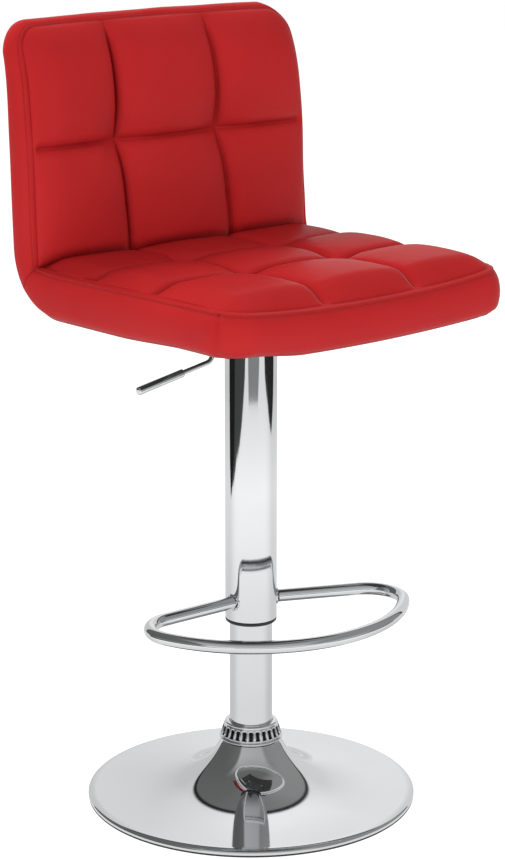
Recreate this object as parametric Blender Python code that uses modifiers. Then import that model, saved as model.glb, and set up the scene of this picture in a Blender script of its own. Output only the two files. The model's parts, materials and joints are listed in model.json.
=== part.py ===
"""Adjustable swivel stool: trumpet base, gas spring column, D-shaped footrest and an upholstered
seat on a bent plywood shell. Metres, +Z up. The origin is the centre of the base on the floor,
and the sitter faces -Y."""

import math

import bmesh
import bpy
from mathutils import Matrix, Vector

# ---------------------------------------------------------------- driving dimensions
GAP = 0.0003                 # clearance between pieces that touch
SHEET = 0.0015               # sheet metal and tube wall

BASE_RADIUS = 0.1925
BASE_RIM_HEIGHT = 0.0075
BASE_RIM_ROUND = 0.003
TRUMPET_SCALE = 0.00231      # the trumpet is z = SCALE / (r - OFFSET) + LEVEL
TRUMPET_OFFSET = 0.003
TRUMPET_LEVEL = -0.004
NECK_RADIUS = 0.0345
BASE_PLATE_RADIUS = 0.125
BASE_PLATE_BOTTOM = 0.0082
BASE_PLATE_THICK = 0.003
FLOOR_RING_WIDTH = 0.012
FLOOR_RING_HEIGHT = 0.003

COLUMN_RADIUS = 0.025
COLUMN_BOTTOM = 0.0025
COLUMN_TOP = 0.430
COLLAR_BOTTOM = 0.0699
COLLAR_TOP = 0.0918
COLLAR_LIP_RADIUS = 0.037
COLLAR_TOP_RADIUS = 0.0285
FLANGE_RADIUS = 0.0330
LOCKNUT_RADIUS = 0.0335
COLUMN_FLOOR_BOTTOM = 0.0075
BUSH_DEPTH = 0.045
BUSH_COLLAR = 0.003

ROD_RADIUS = 0.005
PISTON_BOTTOM = 0.276
PISTON_HEIGHT = 0.014
PRESSURE_RADIUS = 0.014
PRESSURE_BOTTOM = 0.097
PRESSURE_TOP = 0.5715
LIFT_DOWN = 0.055            # travel below the modelled height
BUMP_STOP_RADIUS = 0.0130
ROD_BOTTOM = 0.0032
CLIP_GROOVE_LOW = 0.0042
CLIP_GROOVE_HIGH = 0.0054
CLIP_RADIUS = 0.0085
ROD_WASHER_RADIUS = 0.0100
ROD_WASHER_TOP = 0.0072

SHROUD_RADIUS = 0.030
SHROUD_BOTTOM = 0.219
SHROUD_TOP = 0.5497
SHROUD_RING_BOTTOM = 0.2151
SHROUD_RING_PLUG = 0.012
SHROUD_CAP_THICK = 0.006

FOOTREST_HEIGHT = 0.2423
FOOTREST_BAR_RADIUS = 0.0075
FOOTREST_TURN = math.radians(-14.5)
FOOTREST_ARM_Y = -0.0037     # where the two arms would cross the middle
FOOTREST_ARM_SWEEP = math.radians(12)
FOOTREST_CORNER_RADIUS = 0.041
FOOTREST_FRONT_RADIUS = 0.1747
FOOTREST_REACH = 0.1785

SEAT_HALF_WIDTH = 0.212
SEAT_FRONT = -0.195
SEAT_FRONT_BOW = 0.008
SEAT_CORNER_RADIUS = 0.044
SEAT_UNDERSIDE = 0.5845
SEAT_TOP = 0.647
CREASE_Y = 0.129
CREASE_Z = 0.640
BEND_RADIUS = 0.076          # outside radius of the bend behind the seat
BEND_Y = 0.0925
BACK_TOP = 0.905
BACK_LEAN = 0.008            # the rear face leans back by this much at the top
BACK_TOP_THICK = 0.029
BACK_CORNER_RADIUS = 0.048
COVER = 0.0012
BOARD_THICK = 0.010
BOARD_INSET = 0.0018

PLATE_TOP = 0.5831
PLATE_THICK = 0.0025
PLATE_HALF_X = 0.095
PLATE_HALF_Y = 0.075
BOX_HALF_X = 0.0525
BOX_HALF_Y = 0.0425
BOX_BOTTOM = 0.5540
BOLT_X = 0.080
BOLT_Y = 0.060
BOLT_RADIUS = 0.003

BOLT_TOP = 0.5972
BOLT_HEAD_RADIUS = 0.0052
BOLT_HOLE_RADIUS = 0.0035
NUT_HOLE_RADIUS = 0.0045
HUB_RADIUS = 0.020
HUB_TOP = 0.5700

LEVER_RADIUS = 0.003
SLEEVE_RADIUS = 0.0048
SLEEVE_FLOOR = 0.0036
LEVER_PIVOT = Vector((-0.030, 0.0, 0.5737))
LEVER_ROOT = Vector((-0.101, 0.525))    # inner end of the sleeve, as (x, z)
LEVER_TIP = Vector((-0.165, 0.514))
PIN_RADIUS = 0.0012
EAR_HALF_X = 0.006
EAR_HALF_Y = 0.0065
EAR_GAP_HALF = 0.0042
BUTTON_RADIUS = 0.0040
BUTTON_TOP = 0.5767
VALVE_RADIUS = 0.0046

DUST_HALF_X = 0.186
DUST_HALF_Y = 0.1315
DUST_Y = -0.0430
OPENING_HALF_X = 0.178       # the leather is turned under the board as far as this
OPENING_FRONT = -0.165
OPENING_REAR = 0.078
REAR_PANEL_INSET = 0.0018

BEARING_INNER = ROD_RADIUS + 0.0005
BEARING_OUTER = 0.0150
BEARING_BOTTOM = 0.0108
RACE_THICK = 0.0015
BALL_RADIUS = 0.0018
BALL_COUNT = 8

ROUND = 32                   # sides of the tubes
BIG_ROUND = 48
SMALL_ROUND = 16

BEND_Z = SEAT_UNDERSIDE + BEND_RADIUS

# ---------------------------------------------------------------- scene and materials
for old in list(bpy.data.objects):
    bpy.data.objects.remove(old, do_unlink=True)

stool = bpy.data.collections.new("adjustable_swivel_stool")
cutters = bpy.data.collections.new("cutters")
bpy.context.scene.collection.children.link(stool)
bpy.context.scene.collection.children.link(cutters)


def make_material(name, colour, metallic, roughness):
    material = bpy.data.materials.new(name)
    material.use_nodes = True
    shader = material.node_tree.nodes["Principled BSDF"]
    shader.inputs["Base Color"].default_value = (*colour, 1.0)
    shader.inputs["Metallic"].default_value = metallic
    shader.inputs["Roughness"].default_value = roughness
    return material


FINISHES = {
    "chrome": ((0.80, 0.81, 0.83), 1.0, 0.08),
    "steel": ((0.52, 0.53, 0.55), 1.0, 0.35),
    "black_steel": ((0.03, 0.03, 0.032), 0.3, 0.45),
    "black_plastic": ((0.02, 0.02, 0.022), 0.0, 0.4),
    "nylon": ((0.75, 0.73, 0.66), 0.0, 0.5),
    "rubber": ((0.025, 0.025, 0.025), 0.0, 0.8),
    "plywood": ((0.55, 0.38, 0.21), 0.0, 0.6),
    "foam": ((0.80, 0.74, 0.55), 0.0, 0.9),
    "leather": ((0.45, 0.018, 0.022), 0.0, 0.45),
    "cloth": ((0.02, 0.02, 0.02), 0.0, 0.9),
}


def finish_object(thing, finish):
    """Give the object a material of its own and shade its round faces smooth."""
    thing.data.materials.clear()
    thing.data.materials.append(make_material(thing.name, *FINISHES[finish]))
    if thing.type == "MESH":
        thing.data.shade_smooth()
        thing.data.set_sharp_from_angle(angle=math.radians(35))
    return thing


# ---------------------------------------------------------------- shapes
def mesh_object(name, bm, group=stool):
    bmesh.ops.recalc_face_normals(bm, faces=bm.faces)
    mesh = bpy.data.meshes.new(name)
    bm.to_mesh(mesh)
    bm.free()
    thing = bpy.data.objects.new(name, mesh)
    group.objects.link(thing)
    return thing


def turned(name, profile, finish=None, sides=ROUND, group=stool):
    """Turn a closed profile of (radius, height) points about Z. The profile runs down its
    outer side and back up its inner side, and needs no edge along the axis."""
    mesh = bpy.data.meshes.new(name)
    points = [(r, 0.0, z) for r, z in profile]
    edges = []
    for i in range(len(points)):
        after = (i + 1) % len(points)
        if points[i][0] > 0.0 or points[after][0] > 0.0:
            edges.append((i, after))
    mesh.from_pydata(points, edges, [])
    thing = bpy.data.objects.new(name, mesh)
    group.objects.link(thing)
    screw = thing.modifiers.new("turn", "SCREW")
    screw.steps = sides
    screw.render_steps = sides
    screw.use_merge_vertices = True
    screw.merge_threshold = 0.00001
    return finish_object(thing, finish) if finish else thing


def ring_profile(inner, outer, low, high):
    return [(outer, high), (outer, low), (inner, low), (inner, high)]


def ring(name, inner, outer, low, high, finish=None, sides=ROUND, group=stool):
    return turned(name, ring_profile(inner, outer, low, high), finish, sides, group)


def disc(name, radius, low, high, finish=None, sides=ROUND, group=stool):
    """A solid cylinder on the Z axis."""
    bm = bmesh.new()
    place = Matrix.Translation((0, 0, (low + high) / 2))
    bmesh.ops.create_cone(bm, cap_ends=True, segments=sides, radius1=radius, radius2=radius,
                          depth=high - low, matrix=place)
    thing = mesh_object(name, bm, group)
    return finish_object(thing, finish) if finish else thing


def box(name, low, high, finish=None, group=stool, round_edges=0.0):
    bm = bmesh.new()
    bmesh.ops.create_cube(bm, size=1.0)
    middle = (Vector(low) + Vector(high)) / 2
    size = Vector(high) - Vector(low)
    for vertex in bm.verts:
        vertex.co = Vector(vertex.co[i] * size[i] for i in range(3)) + middle
    thing = mesh_object(name, bm, group)
    if round_edges:
        bevel = thing.modifiers.new("round_edges", "BEVEL")
        bevel.width = round_edges
        bevel.segments = 2
    return finish_object(thing, finish) if finish else thing


def extruded(name, outline, low, high, axis, finish=None, group=stool):
    """Extrude a flat outline along one axis. The outline's pairs are the other two
    coordinates in X, Y, Z order."""
    def place(pair, level):
        coordinates = list(pair)
        coordinates.insert("XYZ".index(axis), level)
        return coordinates

    bm = bmesh.new()
    face = bm.faces.new([bm.verts.new(place(pair, low)) for pair in outline])
    result = bmesh.ops.extrude_face_region(bm, geom=[face], use_keep_orig=True)
    shift = Vector(place((0.0, 0.0), high - low))
    moved = [v for v in result["geom"] if isinstance(v, bmesh.types.BMVert)]
    bmesh.ops.translate(bm, vec=shift, verts=moved)
    thing = mesh_object(name, bm, group)
    return finish_object(thing, finish) if finish else thing


def arc(centre, radius, start, end, steps):
    """Points on an arc, with its angles in degrees."""
    angles = [math.radians(start + (end - start) * i / steps) for i in range(steps + 1)]
    return [(centre[0] + radius * math.cos(a), centre[1] + radius * math.sin(a)) for a in angles]


def bar(name, points, radius, finish, resolution=3):
    """A round bar along points, as a closed mesh."""
    curve = bpy.data.curves.new(name, "CURVE")
    curve.dimensions = "3D"
    curve.bevel_depth = radius
    curve.bevel_resolution = resolution
    curve.use_fill_caps = True
    spline = curve.splines.new("POLY")
    spline.points.add(len(points) - 1)
    for place, point in zip(spline.points, points):
        place.co = (*point, 1.0)
    guide = bpy.data.objects.new(name + "_curve", curve)
    stool.objects.link(guide)
    bpy.context.view_layer.update()
    evaluated = guide.evaluated_get(bpy.context.evaluated_depsgraph_get())
    mesh = bpy.data.meshes.new_from_object(evaluated)
    bm = bmesh.new()
    bm.from_mesh(mesh)
    bmesh.ops.remove_doubles(bm, verts=bm.verts, dist=0.00001)
    thing = mesh_object(name, bm)
    thing.matrix_world = guide.matrix_world.copy()
    bpy.data.objects.remove(guide, do_unlink=True)
    bpy.data.meshes.remove(mesh)
    return finish_object(thing, finish)


def combine(target, other, operation):
    """Cut, join or intersect with another object, which becomes a hidden cutter."""
    modifier = target.modifiers.new(operation.lower() + "_" + other.name, "BOOLEAN")
    modifier.operation = operation
    modifier.solver = "EXACT"
    modifier.object = other
    other.hide_render = True
    other.display_type = "WIRE"
    return target


def thickened(outer, thickness):
    """Close a turned shell's outer profile with a second line one wall thickness inside it."""
    inner = []
    for i, point in enumerate(outer):
        before = Vector(outer[max(i - 1, 0)])
        after = Vector(outer[min(i + 1, len(outer) - 1)])
        along = (after - before).normalized()
        inner.append((point[0] + along.y * thickness, point[1] - along.x * thickness))
    return outer + inner[::-1]


# ---------------------------------------------------------------- base
def trumpet_height(radius):
    return TRUMPET_SCALE / (radius - TRUMPET_OFFSET) + TRUMPET_LEVEL


def build_base():
    neck_top = trumpet_height(NECK_RADIUS) - 0.0012
    flare_end = BASE_RADIUS - 0.006
    flare = []
    for i in range(10):
        radius = NECK_RADIUS + (flare_end - NECK_RADIUS) * (i / 9) ** 1.7
        flare.append((radius, trumpet_height(radius)))
    rim = arc((BASE_RADIUS - BASE_RIM_ROUND, BASE_RIM_HEIGHT - BASE_RIM_ROUND),
              BASE_RIM_ROUND, 75, 0, 2)
    outer = [(COLUMN_RADIUS + GAP, neck_top), (NECK_RADIUS - 0.0035, neck_top)]
    outer += flare[1:] + rim + [(BASE_RADIUS, 0.001)]
    turned("base_shell", thickened(outer, SHEET), "chrome", BIG_ROUND)

    plate_top = BASE_PLATE_BOTTOM + BASE_PLATE_THICK
    ring("base_plate", COLUMN_RADIUS + GAP, BASE_PLATE_RADIUS, BASE_PLATE_BOTTOM, plate_top,
         "black_steel")
    ring_outer = BASE_RADIUS - SHEET - GAP
    lip = 0.0008
    floor_ring = [(ring_outer, FLOOR_RING_HEIGHT), (ring_outer, lip), (ring_outer - lip, 0.0),
                  (ring_outer - FLOOR_RING_WIDTH, 0.0),
                  (ring_outer - FLOOR_RING_WIDTH, FLOOR_RING_HEIGHT)]
    turned("floor_ring", floor_ring, "rubber", BIG_ROUND)

    ring("column_tube", COLUMN_RADIUS - SHEET, COLUMN_RADIUS, COLUMN_BOTTOM, COLUMN_TOP, "chrome")
    ring("column_flange", COLUMN_RADIUS + GAP, FLANGE_RADIUS, neck_top + GAP, neck_top + 0.0033, "steel")

    widest = (0.0357, COLLAR_BOTTOM + 0.0061)
    waist = (0.0345, COLLAR_TOP - 0.0055)
    collar = [(COLLAR_TOP_RADIUS, COLLAR_TOP), (COLLAR_TOP_RADIUS + 0.0018, COLLAR_TOP - 0.0025),
              waist, widest, (COLLAR_LIP_RADIUS, COLLAR_BOTTOM + 0.0040),
              (COLLAR_LIP_RADIUS, COLLAR_BOTTOM), (0.0338, COLLAR_BOTTOM),
              (0.0336, COLLAR_BOTTOM + 0.008), (COLUMN_RADIUS + GAP, COLLAR_TOP - 0.006),
              (COLUMN_RADIUS + GAP, COLLAR_TOP)]
    turned("base_collar", collar, "chrome")

    nut_low = COLUMN_BOTTOM
    nut_high = BASE_PLATE_BOTTOM - GAP
    locknut = disc("column_locknut", LOCKNUT_RADIUS, nut_low, nut_high, "steel", sides=6)
    bore = disc("locknut_bore", COLUMN_RADIUS + GAP, nut_low - 0.01, nut_high + 0.01,
                group=cutters)
    combine(locknut, bore, "DIFFERENCE")

    ring("column_floor", ROD_RADIUS + GAP, COLUMN_RADIUS - SHEET - GAP, COLUMN_FLOOR_BOTTOM,
         BEARING_BOTTOM - GAP, "steel")
    bush_inner = PRESSURE_RADIUS + GAP
    bush_outer = COLUMN_RADIUS - SHEET - GAP
    collar_radius = COLUMN_RADIUS - 0.0002
    bush = [(collar_radius, COLUMN_TOP + BUSH_COLLAR), (collar_radius, COLUMN_TOP + GAP),
            (bush_outer, COLUMN_TOP + GAP), (bush_outer, COLUMN_TOP - BUSH_DEPTH),
            (bush_inner, COLUMN_TOP - BUSH_DEPTH), (bush_inner, COLUMN_TOP + BUSH_COLLAR)]
    turned("guide_bush", bush, "nylon")


# ---------------------------------------------------------------- swivel bearing and gas spring
def build_bearing():
    low = BEARING_BOTTOM
    ring("bearing_lower_race", BEARING_INNER, BEARING_OUTER, low, low + RACE_THICK, "steel")
    ball_height = low + RACE_THICK + GAP + BALL_RADIUS
    middle = (BEARING_INNER + BEARING_OUTER) / 2
    cage = ring("bearing_cage", BEARING_INNER + 0.0008, BEARING_OUTER - 0.0008,
                ball_height - 0.0006, ball_height + 0.0006, "nylon")
    for i in range(BALL_COUNT):
        angle = 2 * math.pi * i / BALL_COUNT
        bm = bmesh.new()
        place = Matrix.Translation((middle * math.cos(angle), middle * math.sin(angle),
                                    ball_height))
        bmesh.ops.create_uvsphere(bm, u_segments=8, v_segments=5, radius=BALL_RADIUS,
                                  matrix=place)
        combine(cage, mesh_object("ball_%d" % i, bm, cutters), "UNION")
    top = ball_height + BALL_RADIUS + GAP
    ring("bearing_upper_race", BEARING_INNER, BEARING_OUTER, top, top + RACE_THICK, "steel")
    return top + RACE_THICK


def build_gas_spring(bearing_top):
    stop_top = PRESSURE_BOTTOM - LIFT_DOWN - 0.002
    stop = [(0.0110, stop_top), (0.0125, stop_top - 0.006), (0.0105, stop_top - 0.011),
            (BUMP_STOP_RADIUS, bearing_top + GAP), (BEARING_INNER, bearing_top + GAP),
            (BEARING_INNER, stop_top)]
    turned("bump_stop", stop, "rubber")

    neck = ROD_RADIUS - 0.0012
    piston_neck = ROD_RADIUS - 0.001
    rod_top = PISTON_BOTTOM + PISTON_HEIGHT + 0.002
    rod = [(0.0, rod_top), (piston_neck, rod_top), (piston_neck, PISTON_BOTTOM - GAP),
           (ROD_RADIUS, PISTON_BOTTOM - GAP), (ROD_RADIUS, CLIP_GROOVE_HIGH),
           (neck, CLIP_GROOVE_HIGH), (neck, CLIP_GROOVE_LOW),
           (ROD_RADIUS - 0.0004, CLIP_GROOVE_LOW), (ROD_RADIUS - 0.001, ROD_BOTTOM),
           (0.0, ROD_BOTTOM)]
    turned("piston_rod", rod, "steel", SMALL_ROUND)
    ring("piston", piston_neck + GAP, PRESSURE_RADIUS - SHEET - GAP, PISTON_BOTTOM,
         PISTON_BOTTOM + PISTON_HEIGHT, "steel")
    ring("rod_washer", ROD_RADIUS + GAP, ROD_WASHER_RADIUS, CLIP_GROOVE_HIGH + GAP,
         ROD_WASHER_TOP, "steel", SMALL_ROUND)
    clip = ring("rod_clip", neck + GAP, CLIP_RADIUS, CLIP_GROOVE_LOW + 0.0001,
                CLIP_GROOVE_HIGH - 0.0001, "steel", SMALL_ROUND)
    mouth = box("clip_mouth", (0.0, -0.0024, 0.0), (0.02, 0.0024, 0.02), group=cutters)
    combine(clip, mouth, "DIFFERENCE")

    inner = PRESSURE_RADIUS - SHEET
    tube = [(PRESSURE_RADIUS - 0.001, PRESSURE_TOP), (PRESSURE_RADIUS, PRESSURE_TOP - 0.001),
            (PRESSURE_RADIUS, PRESSURE_BOTTOM), (inner, PRESSURE_BOTTOM),
            (inner, PRESSURE_TOP - SHEET), (VALVE_RADIUS, PRESSURE_TOP - SHEET),
            (VALVE_RADIUS, PRESSURE_TOP)]
    turned("pressure_tube", tube, "black_steel")
    ring("rod_guide", ROD_RADIUS + GAP, inner - GAP, PRESSURE_BOTTOM + 0.001,
         PRESSURE_BOTTOM + 0.014, "nylon", SMALL_ROUND)
    ring("rod_seal", ROD_RADIUS + GAP, inner - GAP, PRESSURE_BOTTOM + 0.0145,
         PRESSURE_BOTTOM + 0.0195, "rubber", SMALL_ROUND)
    ring("valve_body", VALVE_RADIUS, inner - GAP, PRESSURE_TOP - 0.040, PRESSURE_TOP - SHEET - GAP,
         "steel", SMALL_ROUND)
    disc("release_button", BUTTON_RADIUS, PRESSURE_TOP - 0.020, BUTTON_TOP, "steel", SMALL_ROUND)


# ---------------------------------------------------------------- shroud and footrest
def build_shroud():
    ring("shroud_tube", SHROUD_RADIUS - SHEET, SHROUD_RADIUS, SHROUD_BOTTOM, SHROUD_TOP, "chrome")
    cap_top = SHROUD_TOP - 0.0005
    ring("shroud_cap", PRESSURE_RADIUS + GAP, SHROUD_RADIUS - SHEET - GAP,
         cap_top - SHROUD_CAP_THICK, cap_top, "steel")
    lip_top = SHROUD_BOTTOM - GAP
    plug = SHROUD_RADIUS - SHEET - GAP
    inner = COLUMN_RADIUS + GAP
    profile = [(plug, SHROUD_BOTTOM + SHROUD_RING_PLUG), (plug, lip_top), (SHROUD_RADIUS, lip_top),
               (SHROUD_RADIUS - 0.0004, SHROUD_RING_BOTTOM), (inner, SHROUD_RING_BOTTOM),
               (inner, SHROUD_BOTTOM + SHROUD_RING_PLUG)]
    turned("shroud_ring", profile, "black_plastic")


def footrest_half():
    """The right half of the footrest's centre line: arm, corner and front arc. The corner arc
    touches the arm and the front arc, whose centre lies on the middle line."""
    front_centre = Vector((0.0, FOOTREST_FRONT_RADIUS - FOOTREST_REACH))
    along = Vector((math.cos(FOOTREST_ARM_SWEEP), -math.sin(FOOTREST_ARM_SWEEP)))
    inward = Vector((-math.sin(FOOTREST_ARM_SWEEP), -math.cos(FOOTREST_ARM_SWEEP)))
    start = Vector((0.0, FOOTREST_ARM_Y))
    offset = start + FOOTREST_CORNER_RADIUS * inward - front_centre
    reach = FOOTREST_FRONT_RADIUS - FOOTREST_CORNER_RADIUS
    half = offset.dot(along)
    run = -half + math.sqrt(half * half - offset.dot(offset) + reach * reach)
    corner = start + run * along + FOOTREST_CORNER_RADIUS * inward
    from_front = (corner - front_centre).normalized()
    turn_start = math.degrees(math.atan2(-inward.y, -inward.x))
    turn_end = math.degrees(math.atan2(from_front.y, from_front.x))
    arm = [tuple(start + along * distance) for distance in (0.022, run * 0.5)]
    bend = arc(corner, FOOTREST_CORNER_RADIUS, turn_start, turn_end, 7)
    front = arc(front_centre, FOOTREST_FRONT_RADIUS, turn_end, -90, 9)
    return arm + bend + front[1:]


def build_footrest():
    right = footrest_half()
    left = [(-x, y) for x, y in reversed(right[:-1])]
    turn = Matrix.Rotation(FOOTREST_TURN, 3, "Z")
    route = [turn @ Vector((x, y, FOOTREST_HEIGHT)) for x, y in right + left]
    footrest = bar("footrest_bar", route, FOOTREST_BAR_RADIUS, "chrome", resolution=4)
    cope = disc("footrest_cope", SHROUD_RADIUS + GAP, 0.15, 0.35, group=cutters)
    combine(footrest, cope, "DIFFERENCE")


# ---------------------------------------------------------------- seat mechanism
def bolt_places():
    for side, x in (("left", -BOLT_X), ("right", BOLT_X)):
        for end, y in (("front", -BOLT_Y), ("rear", BOLT_Y)):
            yield "%s_%s" % (end, side), x, y


def drill(target, radius, low, high, label):
    """Drill the four bolt holes in a piece."""
    for place, x, y in bolt_places():
        hole = disc("%s_hole_%s" % (label, place), radius, low, high, sides=16, group=cutters)
        hole.location = (x, y, 0.0)
        combine(target, hole, "DIFFERENCE")


def rounded_rectangle(half_x, half_y, radius, steps=4):
    corners = [(half_x, half_y, 0), (-half_x, half_y, 90), (-half_x, -half_y, 180),
               (half_x, -half_y, 270)]
    outline = []
    for x, y, start in corners:
        centre = (x - math.copysign(radius, x), y - math.copysign(radius, y))
        outline += arc(centre, radius, start, start + 90, steps)
    return outline


def build_mechanism():
    flange_low = PLATE_TOP - PLATE_THICK
    plate = extruded("seat_plate", rounded_rectangle(PLATE_HALF_X, PLATE_HALF_Y, 0.014),
                     flange_low, PLATE_TOP, "Z", "black_steel")
    tray = extruded("plate_tray", rounded_rectangle(BOX_HALF_X, BOX_HALF_Y, 0.010),
                    BOX_BOTTOM, PLATE_TOP - 0.0005, "Z", group=cutters)
    hollow = extruded("plate_hollow", rounded_rectangle(BOX_HALF_X - PLATE_THICK,
                                                        BOX_HALF_Y - PLATE_THICK, 0.008),
                      BOX_BOTTOM + PLATE_THICK, PLATE_TOP + 0.01, "Z", group=cutters)
    hub_hole = disc("plate_hub_hole", HUB_RADIUS + GAP, 0.54, 0.57, group=cutters)
    lever_slot = box("plate_lever_slot", (-0.06, -0.0045, 0.5590), (-0.045, 0.0045, 0.5745),
                     group=cutters)
    combine(plate, tray, "UNION")
    combine(plate, hollow, "DIFFERENCE")
    combine(plate, hub_hole, "DIFFERENCE")
    combine(plate, lever_slot, "DIFFERENCE")
    drill(plate, BOLT_HOLE_RADIUS, 0.57, 0.60, "plate")

    hub_foot = SHROUD_TOP + 0.0005
    bore_radius = PRESSURE_RADIUS + GAP
    hub = [(HUB_RADIUS - 0.0005, HUB_TOP), (HUB_RADIUS, HUB_TOP - 0.001), (HUB_RADIUS, hub_foot),
           (bore_radius, hub_foot), (bore_radius, HUB_TOP)]
    turned("taper_hub", hub, "steel")

    for place, x, y in bolt_places():
        washer = ring("washer_" + place, BOLT_RADIUS + GAP, 0.0070, flange_low - 0.0015,
                      flange_low - GAP, "steel", SMALL_ROUND)
        washer.location = (x, y, 0.0)
        head_top = flange_low - 0.0018
        head_bottom = head_top - 0.0040
        profile = [(0.0, BOLT_TOP), (BOLT_RADIUS, BOLT_TOP), (BOLT_RADIUS, head_top),
                   (BOLT_HEAD_RADIUS, head_top), (BOLT_HEAD_RADIUS, head_bottom + 0.0008),
                   (BOLT_HEAD_RADIUS - 0.0006, head_bottom), (0.0, head_bottom)]
        bolt = turned("bolt_" + place, profile, "steel", SMALL_ROUND)
        bolt.location = (x, y, 0.0)
        socket = disc("socket_" + place, 0.0024, head_top - 0.01, head_top - 0.0014, sides=6,
                      group=cutters)
        socket.location = (x, y, 0.0)
        combine(bolt, socket, "DIFFERENCE")
        board_top = SEAT_UNDERSIDE + BOARD_INSET + BOARD_THICK
        nut = [(0.0090, board_top + 0.0015), (0.0090, board_top + GAP),
               (0.0042, board_top + GAP), (0.0042, board_top - 0.007),
               (BOLT_RADIUS + GAP, board_top - 0.007), (BOLT_RADIUS + GAP, board_top + 0.0015)]
        tee_nut = turned("tee_nut_" + place, nut, "steel", SMALL_ROUND)
        tee_nut.location = (x, y, 0.0)


def build_lever():
    pivot = LEVER_PIVOT
    floor = BOX_BOTTOM + PLATE_THICK + GAP
    bracket = box("lever_bracket", (pivot.x - EAR_HALF_X, -EAR_HALF_Y, floor),
                  (pivot.x + EAR_HALF_X, EAR_HALF_Y, pivot.z + 0.006), "steel")
    gap_cutter = box("bracket_gap", (pivot.x - 0.02, -EAR_GAP_HALF, floor + SHEET),
                     (pivot.x + 0.02, EAR_GAP_HALF, pivot.z + 0.02), group=cutters)
    combine(bracket, gap_cutter, "DIFFERENCE")

    pin = disc("lever_pin", PIN_RADIUS, -0.0080, 0.0080, "steel", SMALL_ROUND)
    pin.rotation_euler = (math.radians(90), 0.0, 0.0)
    pin.location = pivot
    bore = disc("lever_pin_bore", PIN_RADIUS + GAP, -0.02, 0.02, sides=SMALL_ROUND, group=cutters)
    bore.rotation_euler = (math.radians(90), 0.0, 0.0)
    bore.location = pivot
    combine(bracket, bore, "DIFFERENCE")

    bend_one = arc((-0.0486, 0.5575), 0.009, 105, 180, 5)
    bend_two = arc((-0.0666, 0.5400), 0.009, 0, -80, 5)
    over_button = PLATE_TOP - LEVER_RADIUS
    route = [(0.0045, over_button), (-0.0065, over_button), (-0.013, over_button - 0.0011)]
    route += [(pivot.x, pivot.z)] + bend_one + bend_two
    sleeve_run = LEVER_ROOT - LEVER_TIP
    route += [tuple(LEVER_ROOT + sleeve_run * 0.02), tuple(LEVER_TIP + sleeve_run * 0.1)]
    lever = bar("lever_rod", [(x, 0.0, z) for x, z in route], LEVER_RADIUS, "chrome")
    combine(lever, bore, "DIFFERENCE")

    axis = Vector((sleeve_run.x, 0.0, sleeve_run.y))
    length = axis.length
    profile = [(SLEEVE_RADIUS - 0.0012, length), (SLEEVE_RADIUS, length - 0.0010),
               (SLEEVE_RADIUS, 0.0015), (SLEEVE_RADIUS - 0.0015, 0.0),
               (0.0, 0.0), (0.0, SLEEVE_FLOOR), (LEVER_RADIUS + GAP, SLEEVE_FLOOR),
               (LEVER_RADIUS + GAP, length)]
    sleeve = turned("lever_sleeve", profile, "chrome", SMALL_ROUND)
    sleeve.rotation_euler = axis.to_track_quat("Z", "Y").to_euler()
    sleeve.location = (LEVER_TIP.x, 0.0, LEVER_TIP.y)


# ---------------------------------------------------------------- upholstery
def side_profile(inset):
    """The L-shaped outline of the padded seat and back seen from the side, as (y, z) pairs,
    drawn in by inset."""
    rear_top = BEND_Y + BEND_RADIUS + BACK_LEAN
    outline = [(SEAT_FRONT - SEAT_FRONT_BOW + inset, SEAT_UNDERSIDE + inset)]
    outline += arc((BEND_Y, BEND_Z), BEND_RADIUS - inset, -90, -2, 8)
    outline += [(rear_top - inset, BACK_TOP - 0.012), (rear_top - 0.010, BACK_TOP - inset),
                (rear_top - BACK_TOP_THICK + 0.006, BACK_TOP - inset),
                (rear_top - BACK_TOP_THICK + inset, BACK_TOP - 0.008),
                (CREASE_Y + 0.004 + inset, CREASE_Z + 0.10), (CREASE_Y + inset, CREASE_Z - inset),
                (CREASE_Y - 0.03, SEAT_TOP - inset), (SEAT_FRONT + 0.02, SEAT_TOP - inset),
                (SEAT_FRONT - SEAT_FRONT_BOW + 0.005 + inset, SEAT_TOP - 0.013),
                (SEAT_FRONT - SEAT_FRONT_BOW + inset, SEAT_TOP - 0.020)]
    return outline


def plan_outline(inset):
    """The seat's outline from above: round front corners and a front edge with a slight bow."""
    half = SEAT_HALF_WIDTH - inset
    radius = SEAT_CORNER_RADIUS - inset
    front = SEAT_FRONT + inset
    outline = [(half, 0.25)] + [(-half, 0.25)]
    outline += arc((-half + radius, front + radius), radius, 180, 262, 4)
    span = half - radius
    for i in range(1, 8):
        x = -span + 2 * span * i / 8
        outline.append((x, front - SEAT_FRONT_BOW * (1 - (x / span) ** 2)))
    outline += arc((half - radius, front + radius), radius, 278, 360, 4)
    return outline


def front_outline(inset):
    """The outline from the front: the back's round top corners, as (x, z) pairs."""
    half = SEAT_HALF_WIDTH - inset
    radius = BACK_CORNER_RADIUS - inset
    top = BACK_TOP - inset
    outline = [(-half, 0.5), (half, 0.5)]
    outline += arc((half - radius, top - radius), radius, 0, 90, 5)
    outline += arc((-half + radius, top - radius), radius, 90, 180, 5)
    return outline


def padded_envelope(name, inset, group=cutters, finish=None):
    """The whole upholstered L, drawn in by inset on every side."""
    shape = extruded(name, side_profile(inset), -0.3, 0.3, "X", finish, group)
    plan = extruded(name + "_plan", plan_outline(inset), 0.5, 1.0, "Z", group=cutters)
    front = extruded(name + "_front", front_outline(inset), -0.3, 0.3, "Y", group=cutters)
    combine(shape, plan, "INTERSECT")
    combine(shape, front, "INTERSECT")
    return shape


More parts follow.
